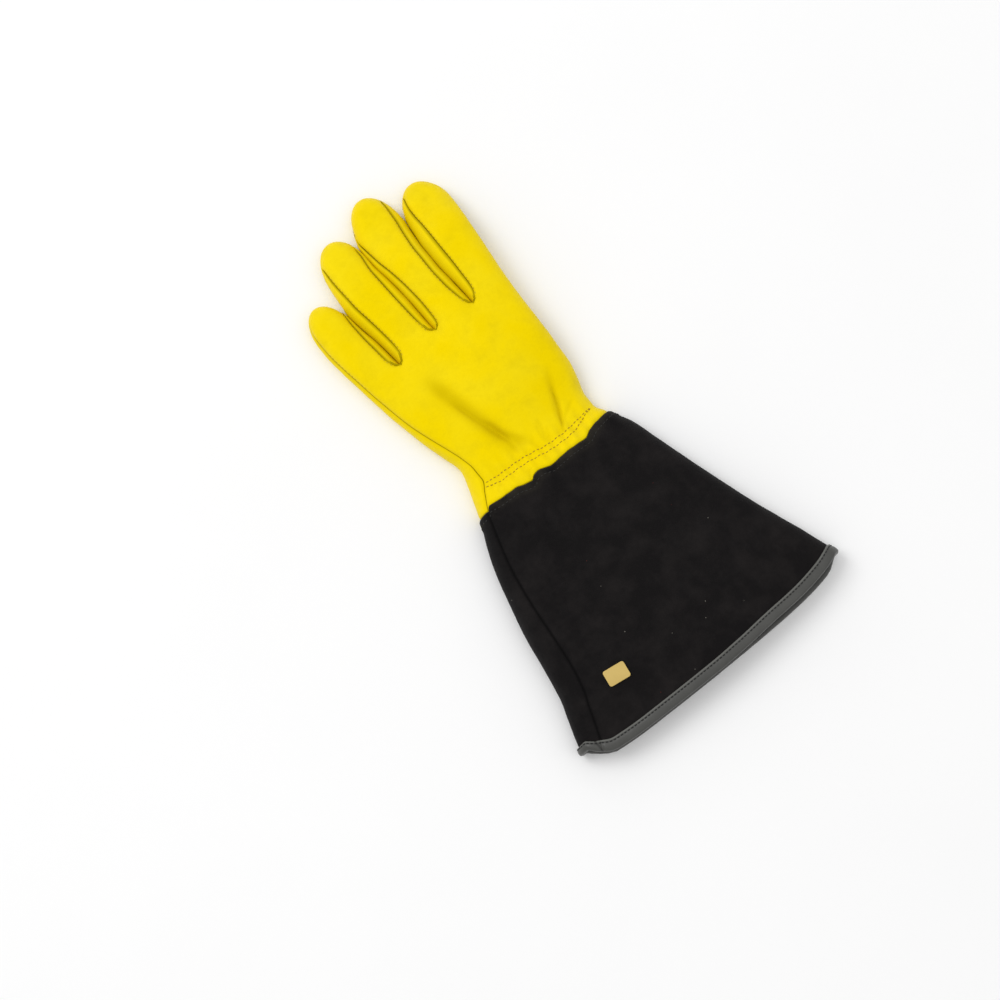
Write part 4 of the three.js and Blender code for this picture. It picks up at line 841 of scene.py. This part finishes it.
def form(sizes):
    """The whole glove's panels as finished grids, worked out once."""
    if FORM:
        return FORM
    strips = make_strips()
    back, palm = ([np.concatenate([strip.trunk, strip.finger]) for strip in strips[above]]
                  for above in (True, False))
    panels = {"back_panel": [grid(points, True, True) for points in back],
              "palm_panel": [grid(points, False, False) for points in palm]}
    for number in (1, 2):
        seam = len(strips[False][number].trunk) - 1 - TRUNK_LEGS[3]
        panels["palm_panel"][number] = grid(palm[number][:seam + 1], False, False)
        panels[f"{FINGERS[number].name}_finger_front"] = [grid(palm[number][seam:], False, False)]
    for index, name in enumerate(("little_ring", "ring_middle", "middle_index")):
        panels[f"fourchette_{name}"] = [fourchette_grid(index, strips)]
    panels["cuff"] = [cuff_grid(strips)]
    share_normals(panels)
    for name, panel in panels.items():
        finish_panel(name, panel, sizes)
    thumb = thumb_grid()
    thumb.final = thumb.points
    thumb.seam = thumb.fold = np.zeros(thumb.points.shape[:2])
    FORM.update(panels, thumb=[thumb])
    return FORM


# Making objects from grids.
def in_frame(points):
    """Millimetres of the layout as metres of the frame."""
    return (np.asarray(points) - BOX_CENTRE) * METRES


def grids_to_mesh(name, grids, cut=None):
    """One mesh from grids that share rows or columns. Each starts as a flat grid and is laid in place."""
    mesh = bpy.data.meshes.new(name)
    work = bmesh.new()
    for part in grids:
        rows, columns = part.final.shape[:2]
        bmesh.ops.create_grid(work, x_segments=columns - 1, y_segments=rows - 1, size=1)
    work.to_mesh(mesh)

    def laid(values):
        return np.concatenate([(v if part.flip else v[:, ::-1]).reshape(-1, *v.shape[2:])
                               for part, v in zip(grids, values)])

    mesh.vertices.foreach_set("co", in_frame(laid([part.final for part in grids])).astype(np.float32).ravel())
    for label in ("seam", "fold"):
        layer = mesh.attributes.new(label, "FLOAT", "POINT")
        layer.data.foreach_set("value", laid([getattr(part, label) for part in grids]).astype(np.float32))
    work.clear()
    work.from_mesh(mesh)
    bmesh.ops.remove_doubles(work, verts=work.verts[:], dist=SAME_POINT)
    bmesh.ops.dissolve_degenerate(work, dist=NO_LENGTH, edges=work.edges[:])
    if cut:
        cut(work)
    work.to_mesh(mesh)
    work.free()
    return mesh


def mesh_of(name, work):
    """A mesh from what bmesh has built."""
    mesh = bpy.data.meshes.new(name)
    work.to_mesh(mesh)
    work.free()
    return mesh


def add_piece(name, mesh, materials, replaced=None):
    """Adds a finished mesh as a piece of the glove."""
    piece = bpy.data.objects.new(name, mesh)
    bpy.context.scene.collection.objects.link(piece)
    for material in materials:
        mesh.materials.append(material)
    mesh.shade_smooth()
    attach(piece, "root")
    if replaced:
        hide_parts(replaced)
    return piece


def add_wall(piece, grids, thickness):
    """Gives a sheet its thickness inwards, with the second material on its inner side.

    The wall is thinner at the points that the sheet's grids end in, where its seams meet.
    """
    places = np.array([vertex.co for vertex in piece.data.vertices])
    rows = [row for part in grids for row in (part.final[0], part.final[-1])]
    ends = [row for row in rows if np.ptp(row, axis=0).max() < POINTED]
    start, full, least = POINT_THINNING
    share = np.ones(len(places))
    for end in ends:
        far = np.linalg.norm(places - in_frame(end[0]), axis=1) / METRES
        share = np.minimum(share, mix(least, 1, smooth(start, full, far)))
    group = piece.vertex_groups.new(name="wall")
    group.add(range(len(places)), 1.0, "REPLACE")
    for index in np.flatnonzero(share < 1):
        group.add([int(index)], float(share[index]), "REPLACE")
    wall = piece.modifiers.new("wall", "SOLIDIFY")
    wall.vertex_group = "wall"
    wall.thickness_vertex_group = 0
    wall.thickness = thickness
    wall.offset = -1
    wall.material_offset = 1
    wall.material_offset_rim = 0


def add_panel(name, node, sizes, finish, cut=None):
    """Builds a panel of the form as a piece that replaces its CAD node."""
    grids = form(sizes)[node]
    sides, slot, thickness = (finish["leather"], finish["lining"]), "yellow_leather", sizes.leather
    if node == "cuff":
        sides, slot, thickness = (finish["suede"], finish["suede"]), "black_suede", sizes.suede
    piece = add_piece(name, grids_to_mesh(name, grids, cut), sides, node)
    add_wall(piece, grids, thickness)


def cut_thumb_hole(work):
    """Opens the palm where the thumb leaves it, and brings the rim onto the oval."""
    centre = in_frame([THUMB.x, THUMB.y, 0])
    half = (THUMB.half_width * METRES, THUMB.half_length * METRES)

    def reach(vertex):
        return math.hypot((vertex.co.x - centre[0]) / half[0], (vertex.co.y - centre[1]) / half[1])

    inside = [vertex for vertex in work.verts if reach(vertex) < 1]
    bmesh.ops.delete(work, geom=inside, context="VERTS")
    for vertex in work.verts:
        far = reach(vertex)
        if vertex.is_boundary and far < HOLE_RIM:
            vertex.co.x = centre[0] + (vertex.co.x - centre[0]) / far
            vertex.co.y = centre[1] + (vertex.co.y - centre[1]) / far


def walk(values, walked, where):
    """Values at distances walked along a line."""
    return np.stack([np.interp(where, walked, values[:, axis]) for axis in range(3)], axis=-1)


def binding_grid(cuff):
    """The strip folded over the raw edge of the cuff, its legs lying along the suede."""
    points, normal = cuff.final[::-1], cuff.normal[::-1]
    steps = np.linalg.norm(np.diff(points, axis=0), axis=-1)
    walked = np.concatenate([np.zeros((1, steps.shape[1])), np.cumsum(steps, axis=0)])
    edge_out = points[0] - points[3]
    edge_out = unit(edge_out - normal[0] * np.sum(edge_out * normal[0], axis=-1, keepdims=True))
    width, suede = BINDING.width, BINDING.suede
    top = BINDING.clearance + BINDING.leather
    bottom = -suede - BINDING.clearance - BINDING.leather
    side, corner = CUT_EDGE.side, CUT_EDGE.corner
    leg = [(-width, CUT_EDGE.foot), (-width - side[0], top * side[1]), (-width + corner[0], top + corner[1])]
    leg += [(along, top + up) for along, up in BINDING_LEG]
    half = (top - bottom) / 2
    bend = [(half * math.cos(angle) * BINDING.bulge, (top + bottom) / 2 + half * math.sin(angle))
            for angle in np.linspace(BINDING.bend, -BINDING.bend, BINDING.bend_steps)]
    inner = [(along, bottom + up) for along, up in BINDING_INSIDE] + [(-BINDING.inner_width, -suede)]
    narrowed = mix(BINDING.narrow, 1, smooth(*BINDING.end, points[0, :, 0]))
    rows = []
    for along, up in leg + bend + inner + leg[:1]:
        upper = up > -suede / 2
        reach = max(-along, 0) * (narrowed if upper else np.ones_like(narrowed))
        base, direction = (np.array([walk(values[:, k], walked[:, k], far) for k, far in enumerate(reach)])
                           for values in (points, normal))
        lapped = LAP.height * (1 - smooth(LAP.x, LAP.x + LAP.step, base[:, :1])) * upper
        rows.append(base + edge_out * max(along, 0) + unit(direction) * (up + lapped))
    rows = np.array(rows)
    rows[:, -1] = rows[:, 0]
    rows[..., 2] = np.maximum(rows[..., 2], 0)
    # Painted highlight along the upper leg's cut edge.
    edge_highlight = np.zeros(rows.shape[:2])
    edge_highlight[:CUT_EDGE.rows] = 1
    # Painted shadow along the lap's step on the upper side.
    step = bell(rows[..., 0] - LAP.x - LAP.step / 2, LAP.shadow) * (rows[..., 2] > LAP.above)
    return SimpleNamespace(final=rows, flip=False, seam=edge_highlight * (1 - step), fold=step)


def resampled(points, normals, pitch):
    """Places, directions and normals at even distances along a line."""
    steps = np.linalg.norm(np.diff(points, axis=0), axis=-1)
    walked = np.concatenate([[0], np.cumsum(steps)])
    at = np.arange(pitch / 2, walked[-1] - pitch / 4, pitch)
    ahead, behind = (walk(points, walked, at + step) for step in (STITCH_REACH, -STITCH_REACH))
    direction = unit(ahead - behind)
    normal = walk(normals, walked, at)
    normal = unit(normal - direction * np.sum(normal * direction, axis=-1, keepdims=True))
    return walk(points, walked, at), direction, normal


def sew(work, points, normals, pitch, length, width, lift):
    """Adds a row of stitches along a line."""
    for place, direction, normal in zip(*resampled(points, normals, pitch)):
        side = np.cross(normal, direction)
        centre = place + normal * lift
        centre[2] = max(centre[2], width / 2)
        turn = Matrix([[*axis] for axis in zip(side * width / 2, normal * width / 2, direction * length / 2)])
        matrix = turn.to_4x4()
        matrix.translation = centre
        bmesh.ops.create_uvsphere(work, u_segments=6, v_segments=5, radius=1, matrix=matrix)


def add_stitches(name, lines, material, sizes, pitch=None, thick=1.0):
    """One piece of stitches along several lines."""
    work = bmesh.new()
    for points, normals, lift in lines:
        sew(work, points, normals, (pitch or sizes.stitch_pitch) / METRES, sizes.stitch_length / METRES,
            sizes.stitch_width * thick / METRES, lift)
    bmesh.ops.transform(work, verts=work.verts[:],
                        matrix=Matrix.Scale(METRES, 4) @ Matrix.Translation((-BOX_CENTRE).tolist()))
    add_piece(name, mesh_of(name, work), [material])


class Surface:
    """A new material, with helpers that add and link its nodes."""

    def __init__(self, name):
        self.material = bpy.data.materials.new(name)
        self.material.use_nodes = True
        self.shader = self.material.node_tree.nodes["Principled BSDF"]
        self.place = self.node("ShaderNodeTexCoord").outputs["Object"]

    def plug(self, socket, value):
        """Links a socket to another node's output, or gives it a value."""
        if isinstance(value, bpy.types.NodeSocket):
            self.material.node_tree.links.new(value, socket)
        else:
            socket.default_value = value

    def node(self, kind, inputs=None, **settings):
        """Adds a node with its settings and inputs."""
        made = self.material.node_tree.nodes.new(kind)
        for key, value in settings.items():
            setattr(made, key, value)
        for key, value in (inputs or {}).items():
            self.plug(made.inputs[key], value)
        return made

    def noise(self, scale, detail, roughness=0.5):
        """Noise in the place of the object."""
        inputs = {"Vector": self.place, "Scale": scale, "Detail": detail, "Roughness": roughness}
        return self.node("ShaderNodeTexNoise", inputs).outputs[0]

    def attribute(self, label):
        """A number that the mesh holds for each of its points."""
        return self.node("ShaderNodeAttribute", attribute_name=label).outputs["Fac"]

    def maths(self, operation, first, second):
        """Works out one number from two."""
        return self.node("ShaderNodeMath", {0: first, 1: second}, operation=operation).outputs[0]

    def ramp(self, value, low, high, start=0.0, end=1.0):
        """Maps a value from low..high to start..end, and holds it there."""
        inputs = {0: value, 1: low, 2: high, 3: start, 4: end}
        return self.node("ShaderNodeMapRange", inputs, clamp=True).outputs[0]

    def blend(self, share, first, second):
        """Blends two colours."""
        return self.node("ShaderNodeMix", {0: share, 6: first, 7: second}, data_type="RGBA").outputs[2]

    def finish(self, tone, bumps, **settings):
        """Gives the shader its colour, its bumps as (height, strength, distance) and its other settings."""
        normal = None
        for height, strength, distance in bumps:
            inputs = {"Height": height, "Strength": strength, "Distance": distance}
            if normal is not None:
                inputs["Normal"] = normal
            normal = self.node("ShaderNodeBump", inputs).outputs[0]
        wanted = {"Base Color": tone, "Normal": normal}
        wanted.update({key.replace("_", " "): value for key, value in settings.items()})
        for key, value in wanted.items():
            self.plug(self.shader.inputs[key], value)
        return self.material


def toned(colour, share=1.0):
    """A share of a colour, with full alpha."""
    return (*(part * share for part in tuple(colour)[:3]), 1.0)


def leather_material(name, colour, shade, light, roughness=0.5):
    """Soft dyed grain leather: fine pebbles, slow colour drift, random darker mottling, painted shade in
    creases, beside seams and between touching fingers, and dark seam lines that are partly painted shade.
    """
    made = Surface(name)
    slow, fine, pore = made.noise(38.0, 3.0), made.noise(420.0, 4.0), made.noise(2300.0, 2.0)
    worn = made.noise(75.0, 4.0, 0.6)
    pebble = made.node("ShaderNodeTexVoronoi", {"Vector": made.place, "Scale": 900.0}, feature="SMOOTH_F1")
    tone = made.blend(made.ramp(slow, 0.35, 0.68), toned(colour), toned(light))
    # Random mottling from two noises; then the fold mask's painted shade in creases, beside seams and between
    # touching fingers; then the seam mask's dark lines, partly the leather's darker cut edges and partly
    # painted shade.
    for amount, most, darker in ((made.ramp(worn, 0.48, 0.75), 0.3, toned(shade)),
                                 (made.ramp(fine, 0.4, 0.9), 0.12, toned(shade)),
                                 (made.attribute("fold"), 0.9, toned(shade)),
                                 (made.attribute("seam"), 0.66, toned(shade, 0.34))):
        tone = made.blend(made.maths("MULTIPLY", amount, most), tone, darker)
    bumps = [(pebble.outputs[0], 0.2, 0.0002), (fine, 0.12, 0.0006), (pore, 0.2, 0.00006)]
    return made.finish(tone, bumps, Roughness=made.ramp(fine, 0.3, 0.7, roughness - 0.07, roughness + 0.08),
                       Specular_IOR_Level=0.3, Specular_Tint=toned(light))


def suede_material(name, colour, light, edge):
    """Napped black suede with brushed patches, a lighter band below its upper edge, painted shade in its side
    seam and a few specks of lint.
    """
    made = Surface(name)
    patch, nap, tuft = made.noise(45.0, 5.0, 0.65), made.noise(1500.0, 4.0, 0.7), made.noise(380.0, 4.0)
    tone = made.blend(made.ramp(patch, 0.42, 0.75), toned(colour), toned(light))
    tone = made.blend(made.ramp(nap, 0.55, 0.8), tone, toned(light))
    # A lighter band below the cuff's upper edge, broken up by the brushed patches.
    edge_band = made.maths("MULTIPLY", made.attribute("fold"), made.ramp(patch, 0.4, 0.72))
    tone = made.blend(edge_band, tone, toned(edge))
    # Painted shade in the side seam's groove.
    tone = made.blend(made.maths("MULTIPLY", made.attribute("seam"), 0.85), tone, toned(colour, 0.3))
    speck = made.node("ShaderNodeTexVoronoi", {"Vector": made.place, "Scale": 300.0}, feature="F1")
    chosen = made.node("ShaderNodeSeparateColor", {0: speck.outputs["Color"]})
    near = made.maths("LESS_THAN", speck.outputs["Distance"], 0.1)
    few = made.maths("GREATER_THAN", chosen.outputs[0], 0.95)
    fluff = made.blend(made.ramp(chosen.outputs[1], 0.5, 0.52), LINT_COLOURS[0], LINT_COLOURS[1])
    tone = made.blend(made.maths("MULTIPLY", near, few), tone, fluff)
    return made.finish(tone, [(tuft, 0.4, 0.0007), (nap, 0.6, 0.0003)], Roughness=0.95,
                       Specular_IOR_Level=0.1, Sheen_Weight=0.04, Sheen_Roughness=0.5)


def plain_material(name, colour, roughness, grain_scale, grain, variation=0.15, edge=None):
    """A material of one colour with slight variation, a fine grain and, if given, a painted highlight along
    its edge and painted shadow where its fold mask is set.
    """
    made = Surface(name)
    fine = made.noise(grain_scale, 3.0)
    drift = made.ramp(made.noise(grain_scale / 8, 3.0), 0.35, 0.65)
    tone = made.blend(drift, toned(colour), toned(colour, 1 - variation))
    if edge is not None:
        # Painted highlight where the seam mask is set, and painted shadow where the fold mask is set.
        tone = made.blend(made.attribute("seam"), tone, toned(edge))
        tone = made.blend(made.attribute("fold"), tone, toned(colour, 0.15))
    return made.finish(tone, [(fine, 0.4, grain)],
                       Roughness=made.ramp(fine, 0.3, 0.7, roughness - 0.06, roughness + 0.06))


MATERIALS = {}


def materials(colours):
    """All materials of the glove, made once."""
    if not MATERIALS:
        yellow, shade = colours.yellow, colours.yellow_shade
        MATERIALS.update(
            leather=leather_material("yellow_leather", yellow, shade, colours.yellow_light),
            # The inner side is the leather material in the crease-shade colour: painted shade.
            lining=leather_material("yellow_flesh_side_shaded", shade, yellow, shade, roughness=0.85),
            suede=suede_material("black_suede", colours.suede, colours.suede_light, colours.suede_edge),
            binding=plain_material("binding_leather", colours.binding, 0.42, 900.0, 0.0002,
                                   edge=colours.binding_edge_highlight),
            tab=plain_material("gold_tab", colours.tab, 0.45, 600.0, 0.0001, variation=0.06),
            floor=plain_material("floor", colours.floor, 0.9, 40.0, 0.0, variation=0.01))
        for name in ("brown_thread", "seam_thread", "dark_thread", "cuff_thread"):
            roughness = 0.8 if name == "cuff_thread" else 0.7
            MATERIALS[name] = plain_material(name, getattr(colours, name), roughness, 3000.0, 0.0001)
    return MATERIALS


# Sizes and colours that a user would change.
def length_property(name, description, default):
    """A length with a name and a description."""
    return FloatProperty(
        name=name, description=description, default=default, min=0.0, precision=5, unit="LENGTH")


def colour_property(name, description, default):
    """A colour with a name and a description."""
    return FloatVectorProperty(name=name, description=description, default=default, size=3, min=0.0, max=1.0,
                               subtype="COLOR")


class GloveSizes(bpy.types.PropertyGroup):
    """Sizes of the glove's leather and stitches."""
    leather: length_property("Leather", "Thickness of the yellow leather", 0.0015)
    suede: length_property("Suede", "Thickness of the cuff's suede", 0.002)
    seam_gap: length_property("Seam gap", "How far each panel is drawn back from a seam", 0.0001)
    seam_roll: length_property("Seam roll", "How far a seam is drawn into the surface", 0.0007)
    unevenness: length_property("Unevenness", "Height of the soft waves in the leather", 0.00028)
    stitch_pitch: length_property("Stitch pitch", "Distance from one stitch to the next", 0.0030)
    stitch_length: length_property("Stitch length", "Length of one stitch", 0.0020)
    stitch_width: length_property("Stitch width", "Thickness of the thread", 0.00062)


class GloveColours(bpy.types.PropertyGroup):
    """Colours of the glove and its floor."""
    yellow: colour_property("Yellow", "Main colour of the leather", (0.885, 0.66, 0.0005))
    # Painted shade colour. The creases, the band beside seams, the gap between touching fingers and the inner
    # side take it, and the seam lines take a darker share of it. The random mottling also blends towards it.
    yellow_shade: colour_property(
        "Yellow in creases", "Colour of the leather in folds", (0.62, 0.455, 0.0005))
    yellow_light: colour_property("Light yellow", "Colour of stretched leather", (0.90, 0.695, 0.006))
    suede: colour_property("Suede", "Main colour of the cuff", (0.0062, 0.0054, 0.0056))
    suede_light: colour_property("Brushed suede", "Colour of brushed nap", (0.0145, 0.0125, 0.0122))
    # Colour of the lighter band of suede below the cuff's upper edge.
    suede_edge: colour_property("Suede edge band", "Colour of the cuff's folded edge", (0.026, 0.023, 0.017))
    binding: colour_property("Binding", "Colour of the hem's binding", (0.055, 0.055, 0.05))
    # Painted highlight colour of the binding's upper edge.
    binding_edge_highlight: colour_property("Binding's edge highlight", "Colour of the binding's cut edge", (0.11, 0.11, 0.1))
    tab: colour_property("Tab", "Colour of the tab on the cuff", (0.62, 0.44, 0.12))
    # Thread of the wrist rows: partly the thread's own darker yellow, partly painted shade of the pits it is
    # pulled into.
    brown_thread: colour_property("Brown thread", "Thread of the wrist rows", (0.38, 0.23, 0.004))
    seam_thread: colour_property("Seam thread", "Thread of the finger seams", (0.33, 0.22, 0.008))
    dark_thread: colour_property("Dark thread", "Thread on the hem", (0.006, 0.006, 0.006))
    cuff_thread: colour_property("Cuff thread", "Thread along the cuff's upper edge", (0.02, 0.019, 0.017))
    floor: colour_property("Floor", "Colour of the floor", (0.97, 0.97, 0.97))


class GloveOperator:
    """What all the operators of the glove share."""
    bl_options = {"REGISTER", "UNDO"}

    def execute(self, context):
        self.build(context.scene.glove_sizes, materials(context.scene.glove_colours))
        return {"FINISHED"}


class GLOVE_OT_back(GloveOperator, bpy.types.Operator):
    """Build the back of the hand and fingers"""
    bl_idname = "glove.back"
    bl_label = "Back of the hand"

    def build(self, sizes, finish):
        add_panel("leather_back", "back_panel", sizes, finish)


class GLOVE_OT_palm(GloveOperator, bpy.types.Operator):
    """Build the palm, the finger fronts and the strips between the fingers"""
    bl_idname = "glove.palm"
    bl_label = "Palm and finger sides"

    def build(self, sizes, finish):
        add_panel("leather_palm", "palm_panel", sizes, finish, cut_thumb_hole)
        for node in form(sizes):
            if node.endswith("_finger_front") or node.startswith("fourchette_"):
                add_panel(f"leather_{node}", node, sizes, finish)


class GLOVE_OT_thumb(GloveOperator, bpy.types.Operator):
    """Build the thumb that lies folded under the palm"""
    bl_idname = "glove.thumb"
    bl_label = "Thumb"

    def build(self, sizes, finish):
        add_panel("leather_thumb", "thumb", sizes, finish)


class GLOVE_OT_cuff(GloveOperator, bpy.types.Operator):
    """Build the suede cuff and the binding of its hem"""
    bl_idname = "glove.cuff"
    bl_label = "Cuff and binding"

    def build(self, sizes, finish):
        add_panel("suede_cuff", "cuff", sizes, finish)
        mesh = grids_to_mesh("hem_strip", [binding_grid(form(sizes)["cuff"][0])])
        add_piece("hem_strip", mesh, [finish["binding"]], "hem_binding")


class GLOVE_OT_tab(GloveOperator, bpy.types.Operator):
    """Build the small tab on the cuff"""
    bl_idname = "glove.tab"
    bl_label = "Tab"

    def build(self, sizes, finish):
        def at(dx, dy):
            y = TAB.y + dy
            point = trunk_point(y, turn_at(trunk_section(y), TAB.x + dx, True))
            return point + np.array([0, 0, float(relief(point, True)[0])])

        centre = at(0.0, 0.0)
        along = at(TAB.width / 4, 0) - at(-TAB.width / 4, 0)
        up = at(0, TAB.length / 4) - at(0, -TAB.length / 4)
        normal = Vector(unit(np.cross(along, up)))
        work = bmesh.new()
        bmesh.ops.create_cube(work, size=1)
        bmesh.ops.scale(work, verts=work.verts[:], vec=(TAB.width, TAB.length, TAB.thickness))
        bmesh.ops.translate(work, verts=work.verts[:], vec=(0, 0, TAB.thickness / 2))
        rounding = {"profile": 0.5, "affect": "EDGES", "material": -1}
        upright = [e for e in work.edges if abs(e.verts[0].co.z - e.verts[1].co.z) > TAB.thickness / 2]
        bmesh.ops.bevel(work, geom=upright, offset=TAB.corner, segments=6, **rounding)
        rim = [e for e in work.edges if all(v.co.z > TAB.thickness / 2 for v in e.verts)]
        bmesh.ops.bevel(work, geom=rim, offset=TAB.edge, segments=3, **rounding)
        onto = Vector((0, 0, 1)).rotation_difference(normal).to_matrix().to_4x4()
        place = (Matrix.Scale(METRES, 4) @ Matrix.Translation(Vector(centre - BOX_CENTRE) + normal * TAB.seat)
                 @ onto @ Matrix.Rotation(math.radians(TAB.turn), 4, "Z"))
        bmesh.ops.transform(work, verts=work.verts[:], matrix=place)
        piece = add_piece("gold_tab", mesh_of("gold_tab", work), [finish["tab"]], "cuff_tab")
        piece.data.set_sharp_from_angle(angle=math.radians(TAB.sharp))


def finger_seams(panels):
    """The lines beside the seams of the fingers that their stitches lie on."""
    lines = []
    start = sum(TRUNK_LEGS) + FINGER_ROW.first
    for finger, part in zip(FINGERS, panels["back_panel"]):
        rows = part.final[start:]
        for edge, inner, inset in ((0, 4, "inset_left"), (-1, -5, "inset_right")):
            if (finger.name, edge) == ("index", -1):
                continue
            line = rows[:, edge] + unit(rows[:, inner] - rows[:, edge]) * FINGER_ROW.beside
            inset_here = read(finger.rows, inset, line[:, 1])
            below_tip = line[:, 1] < finger.tip - FINGER_ROW.to_tip
            count = int(np.argmin((inset_here > FINGER_ROW.shown_inset) & below_tip))
            if count > FINGER_ROW.least:
                lines.append((line[:count], part.normal[start:start + count, edge], FINGER_ROW.lift))
    return lines


def wrist_seams(back):
    """The two lines of the rows at the wrist, which draw together at both ends."""
    rows = (TRUNK_LEGS[0], TRUNK_LEGS[0] + TRUNK_LEGS[1])
    shown = WRIST_ROWS.shown
    lower, upper = (np.concatenate([part.final[row] for part in back]) for row in rows)
    normals = np.concatenate([part.normal[rows[1]] for part in back])[shown]
    right, left = WRIST_ROWS.right, WRIST_ROWS.left
    x = lower[:, :1]
    closing = right[0] * smooth(*right[1:], x) + left[0] * (1 - smooth(*left[1:], x))
    return [(line[shown], normals, WRIST_ROWS.lift) for line in (upper, mix(lower, upper, closing))]


class GLOVE_OT_stitches(GloveOperator, bpy.types.Operator):
    """Sew the seams, the wrist rows, the cuff's edge and the binding"""
    bl_idname = "glove.stitches"
    bl_label = "Stitches"

    def build(self, sizes, finish):
        panels = form(sizes)
        cuff = panels["cuff"][0]
        cuff_line = (cuff.final[CUFF_ROW.row], cuff.normal[CUFF_ROW.row], CUFF_ROW.lift)
        hem_line = (binding_grid(cuff).final[HEM_ROW.row], cuff.normal[-1], HEM_ROW.lift)
        add_stitches("wrist_stitches", wrist_seams(panels["back_panel"]), finish["brown_thread"],
                     sizes)
        add_stitches("finger_stitches", finger_seams(panels), finish["seam_thread"], sizes,
                     thick=FINGER_ROW.thick)
        add_stitches("cuff_stitches", [cuff_line], finish["cuff_thread"], sizes)
        add_stitches("hem_stitches", [hem_line], finish["dark_thread"], sizes,
                     HEM_ROW.pitch, HEM_ROW.thick)


class GLOVE_OT_stage(GloveOperator, bpy.types.Operator):
    """Set up the floor, the light and the camera"""
    bl_idname = "glove.stage"
    bl_label = "Floor, light and camera"

    def build(self, sizes, finish):
        scene = bpy.context.scene
        work = bmesh.new()
        bmesh.ops.create_grid(work, x_segments=1, y_segments=1, size=FLOOR_SIZE)
        mesh = mesh_of("floor", work)
        mesh.materials.append(finish["floor"])
        floor = bpy.data.objects.new("floor", mesh)
        scene.collection.objects.link(floor)
        add_lights(scene)
        add_camera(scene)
        scene.view_settings.view_transform = "Standard"


def add_lights(scene):
    """The square lamps and a white surround."""
    for name, (place, size, power) in LIGHTS.items():
        lamp = bpy.data.lights.new(name, "AREA")
        lamp.shape = "SQUARE"
        lamp.size = size
        lamp.energy = power
        item = bpy.data.objects.new(name, lamp)
        item.location = place
        item.rotation_euler = (-Vector(place)).to_track_quat("-Z", "Y").to_euler()
        scene.collection.objects.link(item)
    world = bpy.data.worlds.new("surround")
    world.use_nodes = True
    colour, strength = world.node_tree.nodes["Background"].inputs[:2]
    colour.default_value = (1, 1, 1, 1)
    strength.default_value = SURROUND
    scene.world = world


def add_camera(scene):
    """The camera at the photograph's viewing angle."""
    lens = bpy.data.cameras.new("camera")
    lens.lens, lens.sensor_width = CAMERA.lens, CAMERA.sensor
    lens.shift_x, lens.shift_y = CAMERA.shift
    lens.clip_end = CAMERA.clip_end
    right = Vector((math.cos(CAMERA.roll), -math.sin(CAMERA.roll), 0))
    ahead = Vector((math.sin(CAMERA.roll), math.cos(CAMERA.roll), 0))
    back = -ahead * math.cos(CAMERA.height) + Vector((0, 0, math.sin(CAMERA.height)))
    upward = back.cross(right)
    eye = Vector(in_frame(CAMERA.target)) + back * CAMERA.distance * METRES
    camera = bpy.data.objects.new("camera", lens)
    turn = Matrix((right, upward, back)).transposed().to_4x4()
    camera.matrix_world = Matrix.Translation(eye) @ turn
    scene.collection.objects.link(camera)
    scene.camera = camera


class GLOVE_PT_panel(bpy.types.Panel):
    """The glove's sizes, colours and steps"""
    bl_label = "Leather gauntlet glove"
    bl_idname = "GLOVE_PT_panel"
    bl_space_type = "VIEW_3D"
    bl_region_type = "UI"
    bl_category = "Glove"

    def draw(self, context):
        for group in (context.scene.glove_sizes, context.scene.glove_colours):
            for name in group.bl_rna.properties.keys():
                if name not in ("rna_type", "name"):
                    self.layout.prop(group, name)
        for step in STEPS:
            self.layout.operator(step.bl_idname)


STEPS = (GLOVE_OT_back, GLOVE_OT_palm, GLOVE_OT_thumb, GLOVE_OT_cuff, GLOVE_OT_tab, GLOVE_OT_stitches,
         GLOVE_OT_stage)
CLASSES = (GloveSizes, GloveColours, *STEPS, GLOVE_PT_panel)


def register():
    """Adds the classes and the glove's settings to Blender."""
    for item in CLASSES:
        bpy.utils.register_class(item)
    bpy.types.Scene.glove_sizes = PointerProperty(type=GloveSizes)
    bpy.types.Scene.glove_colours = PointerProperty(type=GloveColours)


def unregister():
    """Takes them out again."""
    del bpy.types.Scene.glove_colours
    del bpy.types.Scene.glove_sizes
    for item in reversed(CLASSES):
        bpy.utils.unregister_class(item)


def main():
    """Builds the glove step by step."""
    register()
    bpy.ops.glove.back()
    bpy.ops.glove.palm()
    bpy.ops.glove.thumb()
    bpy.ops.glove.cuff()
    bpy.ops.glove.tab()
    bpy.ops.glove.stitches()
    bpy.ops.glove.stage()


if __name__ == "__main__":
    main()
